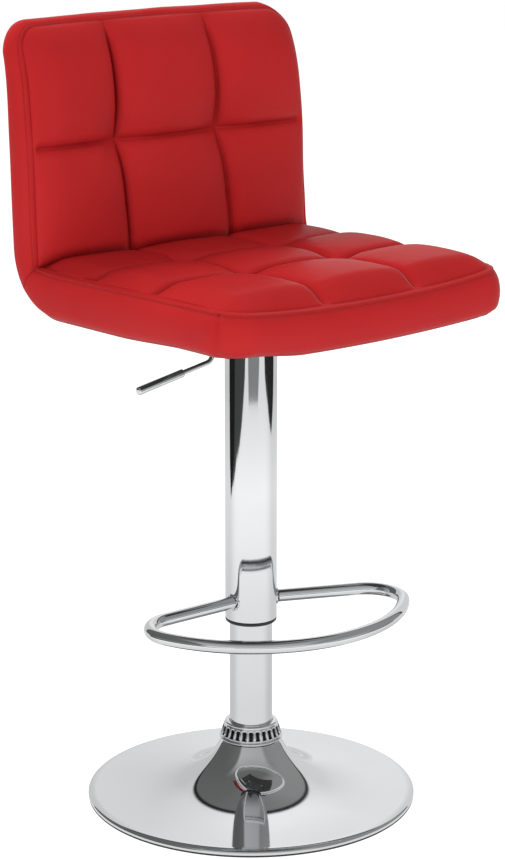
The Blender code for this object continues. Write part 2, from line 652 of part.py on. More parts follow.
def build_board():
    low = SEAT_UNDERSIDE + BOARD_INSET
    outer = BEND_RADIUS - BOARD_INSET
    inner = outer - BOARD_THICK
    rear_top = BEND_Y + BEND_RADIUS + BACK_LEAN - BOARD_INSET
    top = BACK_TOP - 0.012
    outline = [(SEAT_FRONT + 0.006, low)]
    outline += arc((BEND_Y, BEND_Z), outer, -90, -2, 8)
    outline += [(rear_top, top), (rear_top - BOARD_THICK, top)]
    outline += arc((BEND_Y, BEND_Z), inner, -2, -90, 8)
    outline += [(SEAT_FRONT + 0.006, low + BOARD_THICK)]
    board = extruded("seat_board", outline, -0.200, 0.200, "X", "plywood")
    corners = extruded("board_corners", front_outline(0.008), -0.3, 0.3, "Y", group=cutters)
    plan = extruded("board_plan", plan_outline(0.006), 0.5, 1.0, "Z", group=cutters)
    combine(board, corners, "INTERSECT")
    combine(board, plan, "INTERSECT")
    drill(board, NUT_HOLE_RADIUS, 0.57, 0.62, "board")
    return inner


def build_foam(board_inner):
    inset = COVER + 2 * GAP
    inner = board_inner - GAP
    floor = BEND_Z - inner + 0.0020
    wall_foot = BEND_Y + inner
    wall_top = wall_foot + BACK_LEAN
    split = CREASE_Z

    seat = padded_envelope("seat_foam", inset, stool, "foam")
    bend_end = -math.degrees(math.asin((BEND_Z - split) / inner))
    block = [(-0.3, floor), (BEND_Y, floor)]
    block += arc((BEND_Y, BEND_Z), inner, -70, bend_end, 5)
    block += [(CREASE_Y - 0.001, split), (CREASE_Y - 0.001, 0.70), (-0.3, 0.70)]
    combine(seat, extruded("seat_foam_block", block, -0.25, 0.25, "X", group=cutters),
            "INTERSECT")

    back = padded_envelope("back_foam", inset, stool, "foam")
    low = split + GAP
    block = [(CREASE_Y, low)]
    block += [(BEND_Y + math.sqrt(inner ** 2 - (BEND_Z - low) ** 2), low), (wall_foot, BEND_Z),
              (wall_top, BACK_TOP - 0.012), (wall_top, 0.95), (CREASE_Y, 0.95)]
    combine(back, extruded("back_foam_block", block, -0.25, 0.25, "X", group=cutters),
            "INTERSECT")


def build_covers():
    """The leather: one thin skin, split along the diagonal seam beside the crease and around
    the rear panel."""
    seam_run = Vector((BEND_RADIUS * math.cos(math.radians(45)),
                       -BEND_RADIUS * math.sin(math.radians(45))))
    outer_point = Vector((BEND_Y, BEND_Z)) + seam_run
    crease = Vector((CREASE_Y, CREASE_Z))
    away = (outer_point - crease).normalized()
    across = Vector((-away.y, away.x))
    far_in = crease - away * 0.4
    far_out = crease + away * 0.4

    def half_space(name, side, gap):
        shift = across * side
        corners = [far_in + shift * gap, far_out + shift * gap, far_out + shift * 0.9,
                   far_in + shift * 0.9]
        return extruded(name, [tuple(c) for c in corners], -0.4, 0.4, "X", group=cutters)

    rear_top = BEND_Y + BEND_RADIUS + BACK_LEAN

    def rear_band(name, depth, half_width, start):
        """The space taken by the rear panel, from under the seat round the bend to the top."""
        band = [(start, SEAT_UNDERSIDE - 0.02)]
        band += [(BEND_Y + 0.12, SEAT_UNDERSIDE - 0.02), (BEND_Y + 0.12, 0.95),
                 (rear_top - 0.010, 0.95), (rear_top - depth, BACK_TOP - 0.014)]
        band += arc((BEND_Y, BEND_Z), BEND_RADIUS - depth, -2, -90, 8)
        band += [(start, SEAT_UNDERSIDE + depth)]
        return extruded(name, band, -half_width, half_width, "X", group=cutters)

    opening = box("cover_opening", (-OPENING_HALF_X, OPENING_FRONT, 0.55),
                  (OPENING_HALF_X, OPENING_REAR, 0.592), group=cutters)
    inside = padded_envelope("cover_inside", COVER, cutters)
    panel_half = SEAT_HALF_WIDTH - REAR_PANEL_INSET
    rear_space = rear_band("rear_space", COVER + GAP, panel_half, OPENING_REAR)
    for name, side in (("seat_cover", -1), ("back_cover", 1)):
        skin = padded_envelope(name, 0.0, stool, "leather")
        combine(skin, inside, "DIFFERENCE")
        combine(skin, half_space(name + "_half", side, GAP / 2), "INTERSECT")
        combine(skin, rear_space, "DIFFERENCE")
        combine(skin, opening, "DIFFERENCE")

    rear = padded_envelope("rear_cover", 0.0, stool, "leather")
    combine(rear, inside, "DIFFERENCE")
    combine(rear, rear_band("rear_panel", COVER, panel_half - GAP, OPENING_REAR + 0.0023),
            "INTERSECT")

    dust = extruded("dust_cover", rounded_rectangle(DUST_HALF_X, DUST_HALF_Y, 0.012, 2),
                    SEAT_UNDERSIDE - 0.0011, SEAT_UNDERSIDE - GAP, "Z", "cloth")
    dust.location = (0.0, DUST_Y, 0.0)
    drill(dust, BOLT_HOLE_RADIUS, 0.57, 0.60, "dust")


build_base()
build_gas_spring(build_bearing())
build_shroud()
build_footrest()
build_mechanism()
build_lever()
build_foam(build_board())
build_covers()
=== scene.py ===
import json
from math import atan2, cos, degrees, pi, radians, sin, sqrt

import bmesh
import bpy
import numpy as np
from mathutils import Matrix, Vector, noise


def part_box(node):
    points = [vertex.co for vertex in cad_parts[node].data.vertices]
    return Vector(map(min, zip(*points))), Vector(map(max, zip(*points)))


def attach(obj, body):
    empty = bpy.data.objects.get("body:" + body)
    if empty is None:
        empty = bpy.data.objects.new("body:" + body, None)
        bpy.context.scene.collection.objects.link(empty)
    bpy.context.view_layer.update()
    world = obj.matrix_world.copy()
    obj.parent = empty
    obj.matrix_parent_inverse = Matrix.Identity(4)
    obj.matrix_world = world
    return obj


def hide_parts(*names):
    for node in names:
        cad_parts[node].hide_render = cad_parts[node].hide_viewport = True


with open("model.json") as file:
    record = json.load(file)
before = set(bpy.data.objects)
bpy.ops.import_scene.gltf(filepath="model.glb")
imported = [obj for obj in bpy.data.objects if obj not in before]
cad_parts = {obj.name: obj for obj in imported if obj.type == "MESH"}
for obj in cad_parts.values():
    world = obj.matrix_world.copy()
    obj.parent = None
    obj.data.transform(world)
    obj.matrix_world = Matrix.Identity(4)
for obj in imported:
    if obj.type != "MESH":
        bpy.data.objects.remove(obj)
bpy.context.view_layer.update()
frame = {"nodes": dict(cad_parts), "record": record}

scene = bpy.context.scene

seat_low, seat_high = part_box("seat_cover")
back_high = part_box("back_cover")[1]
rear_low, rear_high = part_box("rear_cover")
dust_low, dust_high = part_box("dust_cover")
plate_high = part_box("seat_plate")[1]
base_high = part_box("base_shell")[1]
ring_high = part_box("floor_ring")[1]
collar_low, collar_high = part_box("base_collar")
column_low, column_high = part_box("column_tube")
shroud_low, shroud_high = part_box("shroud_tube")
guide_low, guide_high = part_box("shroud_ring")
foot_low, foot_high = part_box("footrest_bar")

# The upholstery
LEATHER = 0.0012  # thickness of the leather
BOTTOM, TOP = seat_low.z, back_high.z
SIDE = seat_high.x - 0.013  # half width at the seams round the tufted panels
CORNER = 0.031  # plan radius of the seam at the front corners
SPAN = SIDE - CORNER  # where those corners begin
FRONT = seat_low.y + 0.0085  # seam line along the front, at the corners
FRONT_BOW = 0.004  # its middle stands this much further forward
SEAM_Z = BOTTOM + 0.0515  # seam height along the sides
SEAM_DIP = 0.0095  # the seam's drop in the middle of the front
CREASE_Y = 0.129  # where the seat panel and the back panel meet
CREASE_Z = SEAM_Z + 0.0015
BEND_Y = 0.0925  # centre and radius of the bend behind the crease
BEND_R = 0.076
BEND_Z = BOTTOM + BEND_R
LEAN = rear_high.y - BEND_Y - BEND_R  # how far the rear face leans back at its top
TOP_SEAM = TOP - 0.008
TOP_CORNER = 0.025
TUFT_X = 0.068  # columns of tufting on the seat
BACK_TUFT_X = 0.075  # and on the back
SEAT_ROWS = (-0.068, 0.035)  # rows of tufting: y on the seat
BACK_ROW = 0.768  # and z on the back
CORNER_COLUMNS = 12  # grid columns round each corner of a panel
FOLD_Z = BOTTOM + 0.0005  # where the leather turns in under the seat
REAR_EDGE = 0.004  # the band ends this far in front of the rear face
TINY = 1e-9


# ---------------- materials
def new_material(name):
    material = bpy.data.materials.new(name)
    material.use_nodes = True
    tree = material.node_tree
    return material, tree, tree.nodes["Principled BSDF"]


def feed(entry, value):
    """Link a socket to an input, or set the input's own value."""
    if isinstance(value, bpy.types.NodeSocket):
        entry.id_data.links.new(value, entry)
    else:
        entry.default_value = value


def settle(node, **values):
    """Set a node's inputs by name, and its own settings where the name starts with _."""
    for key, value in values.items():
        if key.startswith("_"):
            setattr(node, key[1:], value)
        else:
            feed(node.inputs[key.replace("_", " ")], value)


def add(tree, kind, *terms, output=0, **values):
    """A new node's output. The terms feed its inputs in order, and settle() gets the rest."""
    node = tree.nodes.new("ShaderNode" + kind)
    settle(node, **values)
    for k, term in enumerate(terms):
        feed(node.inputs[k], term)
    return node.outputs[output]


def maths(tree, operation, *terms):
    return add(tree, "Math", *terms, _operation=operation)


def vector(tree, operation, *terms, output=0):
    return add(tree, "VectorMath", *terms, output=output, _operation=operation)


def object_place(tree):
    return add(tree, "TexCoord", output="Object")


def ramp(tree, source, *stops):
    """A colour ramp; each stop is (position, colour or grey)."""
    colour = add(tree, "ValToRGB", source)
    elements = colour.node.color_ramp.elements
    while len(elements) < len(stops):
        elements.new(0.5)
    for element, (position, shade) in zip(elements, stops):
        element.position = position
        element.color = (*(shade if hasattr(shade, "__len__") else (shade,) * 3), 1.0)
    return colour


def mix(tree, factor, first, second, blend="MIX", colours=True):
    """Two colours or two numbers, mixed."""
    a, b, output = (6, 7, 2) if colours else (2, 3, 0)
    result = add(tree, "Mix", factor, output=output, _blend_type=blend,
                 _data_type="RGBA" if colours else "FLOAT")
    feed(result.node.inputs[a], first)
    feed(result.node.inputs[b], second)
    return result


def bump(tree, strength, distance, height):
    return add(tree, "Bump", Strength=strength, Distance=distance, Height=height)


def surface(name, colours, rough, scale, relief, fine_scale, metallic=0.0, sheen=0.0,
            stretch=(1, 1, 1), cells=False):
    """A procedural surface: colour and roughness vary with one noise, and a finer pattern
    gives the relief."""
    material, tree, shader = new_material(name)
    place = add(tree, "Mapping", Vector=object_place(tree), Scale=stretch)
    cloud = add(tree, "TexNoise", Vector=place, Scale=scale, Detail=4.0, Roughness=0.55)
    if cells:
        fine = add(tree, "TexVoronoi", Vector=place, Scale=fine_scale)
    else:
        fine = add(tree, "TexNoise", Vector=place, Scale=fine_scale, Detail=3.0)
    settle(shader, Metallic=metallic, Sheen_Weight=sheen,
           Base_Color=ramp(tree, cloud, (0.3, colours[0]), (0.7, colours[1])),
           Roughness=ramp(tree, cloud, (0.25, rough[0]), (0.75, rough[1])),
           Normal=bump(tree, relief, 0.0004, fine))
    return material


def leather_material():
    """Red synthetic leather: fine pores, soft creases, and painted shade that turns it a deeper, darker red
    in every fold and crease.
    """
    material, tree, shader = new_material("red_leather")
    place = object_place(tree)
    cloud = add(tree, "TexNoise", Vector=place, Scale=9.0, Detail=5.0, Roughness=0.6)
    tint = ramp(tree, cloud, (0.25, (0.385, 0.0148, 0.016)), (0.75, (0.425, 0.0178, 0.019)))
    grain = add(tree, "TexVoronoi", Vector=place, Scale=620.0, _feature="DISTANCE_TO_EDGE")
    pores = ramp(tree, grain, (0.0, 0.0), (0.35, 1.0))
    # Painted shade: ambient occlusion darkens the base colour wherever the leather dips in, in creases,
    # seams and round tufts.
    hollow = add(tree, "AmbientOcclusion", output="AO", Distance=0.016, _samples=6)
    fold_relief_and_painted_shade = ramp(tree, hollow, (0.3, (0.42, 0.22, 0.24)), (0.62, (0.8, 0.62, 0.64)), (0.9, 1.0))
    creases = add(tree, "TexNoise", Vector=place, Scale=150.0, Detail=4.0)
    relief = mix(tree, 0.35, pores, creases, colours=False)
    settle(shader, Specular_IOR_Level=0.055,
           Base_Color=vector(tree, "MULTIPLY", mix(tree, 0.06, tint, pores, "MULTIPLY"), fold_relief_and_painted_shade),
           Roughness=ramp(tree, cloud, (0.2, 0.4), (0.8, 0.47)), Normal=bump(tree, 0.1, 0.0003, relief))
    return material


def plywood_material():
    """Birch plywood: long grain on the faces, dark glue lines between plies."""
    material, tree, shader = new_material("bent_plywood")
    place = object_place(tree)
    stretched = add(tree, "Mapping", Vector=place, Scale=(90.0, 3.0, 3.0))
    grain = add(tree, "TexNoise", Vector=stretched, Scale=1.2, Detail=6.0, Roughness=0.65)
    tint = ramp(tree, grain, (0.3, (0.42, 0.26, 0.13)), (0.7, (0.66, 0.47, 0.27)))
    plies = add(tree, "TexWave", output="Fac", Vector=place, Scale=110.0, Distortion=0.6,
                _bands_direction="Z")
    glue = ramp(tree, plies, (0.05, 0.55), (0.22, 1.0))
    settle(shader, Base_Color=mix(tree, 0.5, tint, glue, "MULTIPLY"), Roughness=0.62,
           Normal=bump(tree, 0.25, 0.0004, grain))
    return material


def cloth_material():
    """Thin black non-woven cloth with a fine embossed weave."""
    material, tree, shader = new_material("black_dust_cloth")
    waves = [add(tree, "TexWave", output="Fac", Vector=object_place(tree), Scale=420.0,
                 Distortion=1.5, _bands_direction=direction) for direction in ("X", "Y")]
    weave = maths(tree, "MULTIPLY", *waves)
    settle(shader, Base_Color=ramp(tree, weave, (0.0, 0.012), (1.0, 0.034)), Roughness=0.88,
           Normal=bump(tree, 0.5, 0.0003, weave))
    return material


def collar_material(low, high, radius_low, radius_high):
    """Chrome on the ribs, with painted shade between them: the deeper a spot lies below the ribs, the
    nearer black and the rougher it is painted. The ribs stand at radius_low at the height low, and at
    radius_high at the height high."""
    material, tree, shader = new_material("fluted_chrome")
    place = object_place(tree)
    flat = vector(tree, "MULTIPLY", place, (1.0, 1.0, 0.0))
    radius = vector(tree, "LENGTH", flat, output="Value")
    height = add(tree, "SeparateXYZ", place, output="Z")
    ribs = add(tree, "MapRange", height, low, high, radius_low, radius_high)
    depth = maths(tree, "SUBTRACT", ribs, radius)
    painted_recess_shade = add(tree, "MapRange", depth, 0.0001, 0.001)
    fluted = maths(tree, "COMPARE", height, (low + high) / 2, (high - low) / 2)
    share = maths(tree, "MULTIPLY", painted_recess_shade, fluted)
    # Painted shade: between the ribs the base colour goes near black and the roughness rises, the more so
    # the deeper the spot lies.
    settle(shader, Metallic=1.0,
           Base_Color=ramp(tree, share, (0.0, (0.83, 0.835, 0.85)), (1.0, (0.02, 0.02, 0.021))),
           Roughness=ramp(tree, share, (0.0, 0.05), (1.0, 0.25)))
    return material


FINISH = {
    "chrome": surface("chrome_plating", [(0.8, 0.81, 0.825), (0.86, 0.865, 0.875)],
                      (0.035, 0.06), 6.0, 0.012, 90.0, metallic=1.0),
    "steel": surface("plain_steel", [(0.42, 0.43, 0.44), (0.6, 0.61, 0.62)], (0.28, 0.42),
                     60.0, 0.1, 900.0, metallic=1.0, stretch=(1, 1, 0.15)),
    "black_steel": surface("black_powder_coat", [(0.018, 0.018, 0.019), (0.035, 0.035, 0.037)],
                           (0.38, 0.52), 30.0, 0.35, 1500.0),
    "black_plastic": surface("black_moulded_plastic", [(0.008, 0.008, 0.009), (0.016, 0.016, 0.017)],
                             (0.3, 0.42), 80.0, 0.12, 1800.0),
    "nylon": surface("natural_nylon", [(0.66, 0.64, 0.56), (0.78, 0.76, 0.69)], (0.4, 0.55),
                     50.0, 0.1, 700.0),
    "rubber": surface("black_rubber", [0.014, 0.03], (0.7, 0.9), 60.0, 0.3, 1200.0),
    "foam": surface("seat_foam_cells", [(0.7, 0.62, 0.42), (0.84, 0.78, 0.58)], (0.85, 0.95),
                    40.0, 0.9, 900.0, cells=True),
    "plywood": plywood_material(),
    "leather": leather_material(),
    "dust_cloth": cloth_material(),
}
thread = surface("red_thread", [(0.3, 0.01, 0.012), (0.42, 0.016, 0.018)], (0.55, 0.7), 300.0,
                 0.5, 2500.0, sheen=0.2)
for row in frame["record"]["subparts"]:
    node = frame["nodes"].get(row["node"])
    if node is not None:
        node.data.materials.clear()
        node.data.materials.append(FINISH[row["material_slot"]])
        node.visible_glossy = row["material_slot"] not in ("plywood", "foam")


# ---------------- building pieces
def mesh_object(name, verts, faces, material):
    mesh = bpy.data.meshes.new(name)
    mesh.from_pydata([tuple(v) for v in verts], [], [tuple(f) for f in faces])
    mesh.materials.append(material)
    thing = bpy.data.objects.new(name, mesh)
    scene.collection.objects.link(thing)
    return thing


def piece(name, verts, faces, body, slot, replaces=(), material=None, sharp=0.0, weld=0.0):
    """A mesh piece that rides on a body, takes a slot's finish and may stand for CAD nodes."""
    thing = mesh_object(name, verts, faces, material or FINISH[slot])
    mesh = thing.data
    if weld:
        bm = bmesh.new()
        bm.from_mesh(mesh)
        bmesh.ops.remove_doubles(bm, verts=bm.verts, dist=weld)
        bmesh.ops.recalc_face_normals(bm, faces=bm.faces)
        bm.to_mesh(mesh)
        bm.free()
    mesh.validate()
    mesh.shade_smooth()
    if sharp:
        mesh.set_sharp_from_angle(angle=radians(sharp))
    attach(thing, body)
    if replaces:
        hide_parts(*replaces)
    return thing


def grid_faces(rows, columns, close_rows=False, close_columns=False, start=0):
    """The faces between rows of vertices; start is the number of the first vertex."""
    faces = []
    for i in range(rows if close_rows else rows - 1):
        here, after = start + i * columns, start + (i + 1) % rows * columns
        for j in range(columns if close_columns else columns - 1):
            beside = (j + 1) % columns
            faces.append((here + j, here + beside, after + beside, after + j))
    return faces


def bar_faces(rings, sides, start=0):
    """The faces of a bar made of rings of vertices, with both ends closed."""
    end = start + (rings - 1) * sides
    return (grid_faces(rings, sides, close_columns=True, start=start)
            + [range(start, start + sides)[::-1], range(end, end + sides)])


def ring(centre, side, up, sides):
    """Points round a centre, on an ellipse with the half axes side and up."""
    angles = [2 * pi * m / sides for m in range(sides)]
    return [centre + side * cos(a) + up * sin(a) for a in angles]


def thicken(thing, thickness, offset):
    wall = thing.modifiers.new("thickness", "SOLIDIFY")
    wall.thickness, wall.offset = thickness, offset
    return wall


def skin(name, points, outward, close_rows=False, replaces=(), mirrored=False):
    """A leather skin from a grid of points, thickened inwards. outward is the direction that
    the first face looks in, and mirrored says whether the chrome shows it."""
    rows, columns = points.shape[:2]
    faces = grid_faces(rows, columns, close_rows)
    a, b, d = points[0, 0], points[0, 1], points[1, 0]
    if np.dot(np.cross(b - a, d - a), outward) < 0:
        faces = [f[::-1] for f in faces]
    thing = piece(name, points.reshape(-1, 3), faces, "seat", "leather", replaces)
    thing.visible_glossy = mirrored
    thicken(thing, LEATHER, -1.0).use_even_offset = False
    return thing


def smooth_curve(x, xs, ys):
    """A smooth curve through points, without overshoot (monotone cubic)."""
    xs, ys = np.array(xs), np.array(ys)
    step = np.diff(xs)
    slope = np.diff(ys) / step
    tangent = np.zeros(len(xs))
    tangent[0], tangent[-1] = slope[0], slope[-1]
    for i in range(1, len(xs) - 1):
        if slope[i - 1] * slope[i] > 0:
            tangent[i] = 2 * slope[i - 1] * slope[i] / (slope[i - 1] + slope[i])
    i = np.clip(np.searchsorted(xs, x) - 1, 0, len(xs) - 2)
    t = np.clip((x - xs[i]) / step[i], 0, 1)
    ease = smoothstep(t)
    sway = step[i] * t * (1 - t) * ((1 - t) * tangent[i] - t * tangent[i + 1])
    return (1 - ease) * ys[i] + ease * ys[i + 1] + sway


def smoothstep(t):
    t = np.clip(t, 0, 1)
    return t * t * (3 - 2 * t)


@np.vectorize
def wrinkle(x, y, seed, scale):
    """Deterministic noise from -1 to 1."""
    return noise.noise(Vector((x * scale, y * scale, seed)))


# ---------------- the lines of the upholstery
def rounded(x, limit, radius):
    """How far an edge has turned aside at x, round a corner that ends at x = limit."""
    over = np.clip((np.abs(x) - (limit - radius)) / radius, 0, 1)
    return radius * (1 - np.sqrt(1 - over ** 2))


def front_line(x):
    """Seam line along the front: y at x, round the corners too."""
    bow = FRONT_BOW * (1 - np.minimum(np.abs(x) / SPAN, 1) ** 2)
    return FRONT - bow + rounded(x, SIDE, CORNER)


def front_seam_height(x):
    return SEAM_Z - SEAM_DIP * (1 - np.clip(np.abs(x) / SIDE, 0, 1) ** 2.5)


def arch(x):
    """How far the top of the back rises at x, from its corners to its middle."""
    return 0.0025 * (1 - np.clip(x / SIDE, -1, 1) ** 2)


def top_line(x):
    """Seam line along the top of the back: z at x."""
    return TOP_SEAM - rounded(x, SIDE, TOP_CORNER) + arch(x)


def roll_back(z):
    """The top of the back curls away from the sitter by this much."""
    return 0.025 * np.clip((z - 0.765) / 0.14, 0, 1) ** 4


def narrow(z):
    """The back's width, as a share of its full width, tapers in a little at the top."""
    return 1.0 - 0.026 * np.clip((z - 0.77) / 0.128, 0, 1) ** 2


def back_seam(z):
    """How far back the seam round the back's front panel lies, at height z."""
    return roll_back(z) + smooth_curve(z - CREASE_Z, [0.0, 0.056, 0.116, 0.175, 0.257],
                                       [0.13, 0.133, 0.1345, 0.1395, 0.1475])


def rear_face(z):
    """How far back the rear panel lies, at height z."""
    lean = LEAN * np.clip((z - BEND_Z) / (TOP - BEND_Z), 0, 1)
    return BEND_Y + BEND_R + lean + roll_back(z)


def spread(limit, corner, count):
    """Columns across a panel: even on the straight part, crowding towards the round corners."""
    middle = limit - corner
    turn = middle + corner * np.sin(np.linspace(0, np.pi / 2, CORNER_COLUMNS + 1)[1:])
    return np.concatenate([-turn[::-1], np.linspace(-middle, middle, count), turn])


def tufted_columns(corner, tuft):
    """Columns across a tufted panel, with one down each groove."""
    columns = spread(SIDE, corner, 150)
    for mark in (-tuft, tuft):
        columns[np.argmin(np.abs(columns - mark))] = mark
    return columns


def tufted_rows(marks, counts, lines):
    """Rows of a tufted panel, with counts of them between lines. A line is a number or one
    for each column, and the marks are the lines' places from 0 to 1."""
    share = np.concatenate([np.linspace(a, b, n, endpoint=False) for a, b, n in
                            zip(marks, marks[1:], counts)] + [[1.0]])
    return np.stack([np.interp(share, marks, column) for column in zip(*np.broadcast_arrays(*lines))], 1)


def bulge(t):
    """A pillow's section: 1 in its middle, 0 at its edges at t = -1 and 1."""
    return (1 - np.minimum(np.abs(t), 1) ** 2.3) ** 0.58


def cell_position(value, edges):
    """Where a value lies in its cell of tufting, from -1 to 1."""
    position = np.zeros_like(value)
    for low, high in zip(edges, edges[1:]):
        inside = (value >= low - TINY) & (value <= high + TINY)
        position = np.where(inside, np.clip((value - low) / (high - low), 0, 1) * 2 - 1, position)
    return position


def groove(distance, depth, width):
    return depth * np.exp(-(distance / width) ** 2)


def pulled(x, y, centres, depth, reach):
    """A dent round each tuft, with small fold ridges running out of it."""
    amount = np.zeros_like(x)
    for k, (cx, cy) in enumerate(centres):
        distance = np.hypot(x - cx, y - cy)
        angle = np.arctan2(y - cy, x - cx)
        fold_relief_and_painted_shade = np.cos(5 * angle + 1.3 * k) * 0.5 + np.cos(9 * angle + 2.1 * k) * 0.3
        near = np.exp(-(distance / reach) ** 2)
        around = near * np.minimum(distance / (0.35 * reach), 1)
        amount += depth * near + 0.1 * depth * fold_relief_and_painted_shade * around
    return amount


def hemmed(points, first, last, left):
    """A panel with its edges turned in: first and last move its end rows, and left its side
    columns, the right one mirrored."""
    points = np.concatenate([points[:1] + first, points, points[-1:] + last], 0)
    right = np.array(left) * (-1, 1, 1)
    return np.concatenate([points[:, :1] + left, points, points[:, -1:] + right], 1)


# ---------------- tufted seat panel
SEAT_GROOVE = 0.0034  # depth of the grooves along the columns of tufts
SEAT_ROW_GROOVE = 0.0036  # and along the rows
SEAT_GROOVE_WIDTH = 0.0055
SEAT_CROWN = 0.0128  # height of a pillow over its valley
SEAT_RIDGE = 0.004  # height left along the middle of a valley
SEAT_VALLEY = BOTTOM + 0.0555  # height of the valleys away from the edge
SEAT_DENT = 0.0034  # a tuft's depth and reach
SEAT_DENT_REACH = 0.022


def seat_panel():
    x_line = tufted_columns(CORNER, TUFT_X)
    front = front_line(x_line)
    y = tufted_rows([0.0, 0.36, 0.7, 1.0], (46, 40, 36), [front, *SEAT_ROWS, CREASE_Y])
    x = np.broadcast_to(x_line, y.shape)
    f = bulge(cell_position(x, [-SIDE, -TUFT_X, TUFT_X, SIDE]))
    g = bulge(cell_position(y, [front, *SEAT_ROWS, CREASE_Y]))
    nearness = np.exp(-np.maximum(y - front, 0) / 0.05)
    edge_height = SEAM_Z + (front_seam_height(x) - SEAM_Z) * nearness
    distance = np.minimum(SIDE - np.abs(x), y - front)
    inner = smoothstep(distance / 0.03)
    valley = edge_height + (SEAT_VALLEY - edge_height) * inner
    crown = (SEAT_CROWN - 0.0008 * smoothstep((y - SEAT_ROWS[0]) / 0.02)
             - 0.0038 * smoothstep((y - SEAT_ROWS[1]) / 0.01))
    z = valley + crown * f * g + SEAT_RIDGE * inner * ((1 - f) * g + (1 - g) * f)
    centres = [(side * TUFT_X, row) for side in (-1, 1) for row in SEAT_ROWS]
    z -= pulled(x, y, centres, SEAT_DENT, SEAT_DENT_REACH) * inner
    to_column = np.abs(np.abs(x) - TUFT_X)
    to_row = np.minimum(np.abs(y - SEAT_ROWS[0]), np.abs(y - SEAT_ROWS[1]))
    z -= np.maximum(groove(to_column, SEAT_GROOVE, SEAT_GROOVE_WIDTH),
                    groove(to_row, SEAT_ROW_GROOVE, SEAT_GROOVE_WIDTH)) * smoothstep(distance / 0.01)
    z += 0.0007 * (1 - f * g) * inner * wrinkle(x, y, 3.1, 70.0)
    z += 0.0008 * inner * wrinkle(x, y, 8.4, 16.0)
    points = hemmed(np.stack([x, y, z], -1), (0, 0.0012, -0.003), (0, 0.0006, -0.0035), (0.0012, 0, -0.003))
    skin("seat_panel", points, (0, 0, 1), replaces=("seat_cover", "seat_foam"))


# ---------------- tufted back panel
BACK_GROOVE = 0.0034  # depth of the grooves along the columns of tufts
BACK_ROW_GROOVE = 0.003  # and along the row
BACK_GROOVE_WIDTH = 0.0062
BACK_CROWN = 0.015
BACK_RIDGE_LOW, BACK_RIDGE_HIGH = 0.002, -0.001  # along the columns, below and above the row
BACK_RIDGE_ROW = 0.0035  # along the row
BACK_DENT = 0.007  # a tuft's depth and reach
BACK_DENT_REACH = 0.027


def back_columns(x, z):
    """Lead the back's columns of tufting a little sideways on their way up."""
    height = [CREASE_Z, BACK_ROW, TOP_SEAM]
    left = np.interp(z, height, [-0.068, -0.08, -0.078])
    right = np.interp(z, height, [0.084, 0.069, 0.072])
    outer = SIDE - BACK_TUFT_X
    from_left, from_right = x + BACK_TUFT_X, x - BACK_TUFT_X
    return np.where(x < -BACK_TUFT_X, left + from_left * (left + SIDE) / outer,
                    np.where(x > BACK_TUFT_X, right + from_right * (SIDE - right) / outer,
                             left + from_left * (right - left) / (2 * BACK_TUFT_X)))


def back_panel():
    x_line = tufted_columns(TOP_CORNER, BACK_TUFT_X)
    top = top_line(x_line)
    z = tufted_rows([0.0, 0.51, 1.0], (56, 55), [CREASE_Z, BACK_ROW, top])
    x = np.broadcast_to(x_line, z.shape)
    f = bulge(cell_position(x, [-SIDE, -BACK_TUFT_X, BACK_TUFT_X, SIDE]))
    g = bulge(cell_position(z, [CREASE_Z, BACK_ROW, top]))
    inner = (smoothstep(np.minimum(SIDE - np.abs(x), top - z) / 0.035) * smoothstep((z - CREASE_Z) / 0.02))
    ridge = np.where(z <= BACK_ROW + TINY, BACK_RIDGE_LOW, BACK_RIDGE_HIGH)
    out = BACK_CROWN * f * g + inner * (ridge * (1 - f) * g + BACK_RIDGE_ROW * (1 - g) * f)
    centres = [(side * BACK_TUFT_X, BACK_ROW) for side in (-1, 1)]
    out -= pulled(x, z, centres, BACK_DENT, BACK_DENT_REACH) * inner
    to_column = np.abs(np.abs(x) - BACK_TUFT_X)
    below_top = smoothstep((top - z - 0.004) / 0.022)
    from_side = smoothstep((SIDE - np.abs(x)) / 0.008)
    out -= np.maximum(groove(to_column, BACK_GROOVE, BACK_GROOVE_WIDTH) * below_top,
                      groove(z - BACK_ROW, BACK_ROW_GROOVE, BACK_GROOVE_WIDTH) * from_side)
    x = back_columns(x, z) * narrow(z)
    out += 0.0008 * (1 - f * g) * inner * wrinkle(x, z, 5.7, 65.0)
    out += 0.0009 * inner * wrinkle(x, z, 1.9, 15.0)
    points = hemmed(np.stack([x, back_seam(z) - out, z], -1), (0, 0.003, -0.0012),
                    (0, 0.003, -0.0012), (0.0012, 0.003, 0))
    skin("back_panel", points, (0, -1, 0), replaces=("back_cover", "back_foam"), mirrored=True)


# ---------------- boxing band round the edge
SEAM_SHARE = 0.925  # the topstitch line, as a share of the band's width
CORNER_SEAM = -33.0  # where the band's corner seams sit on the corner, degrees
SEAM_GROOVE = 0.0022
BACK_SEAM_START = BEND_Z + 0.004  # seam height where the back's straight side begins
BAND_SHARES = np.array([-0.06, 0.0, 0.03, 0.07, 0.12, 0.18, 0.26, 0.35, 0.45, 0.55, 0.64, 0.72,
                        0.79, 0.85, 0.885, 0.91, 0.925, 0.94, 0.958, 0.975, 0.99, 1.0, 1.03])
BAND_BULGE = smooth_curve(BAND_SHARES,
    [-0.06, 0.0, 0.07, 0.18, 0.45, 0.72, 0.835, 0.905, 0.925, 0.95, 0.975, 1.0, 1.03],
    [0.002, 0.0055, 0.0105, 0.013, 0.0145, 0.0125, 0.0098, 0.0074, 0.0055, 0.0066, 0.0052, 0.0002, -0.002])


def edge_inset(angle):
    """How far the rear panel's edge seam lies inside the rounded rear face, at an angle round
    the bend: -90 under the seat, 0 behind the back."""
    return 0.001 + 0.003 * smoothstep((angle + 90) / 90)


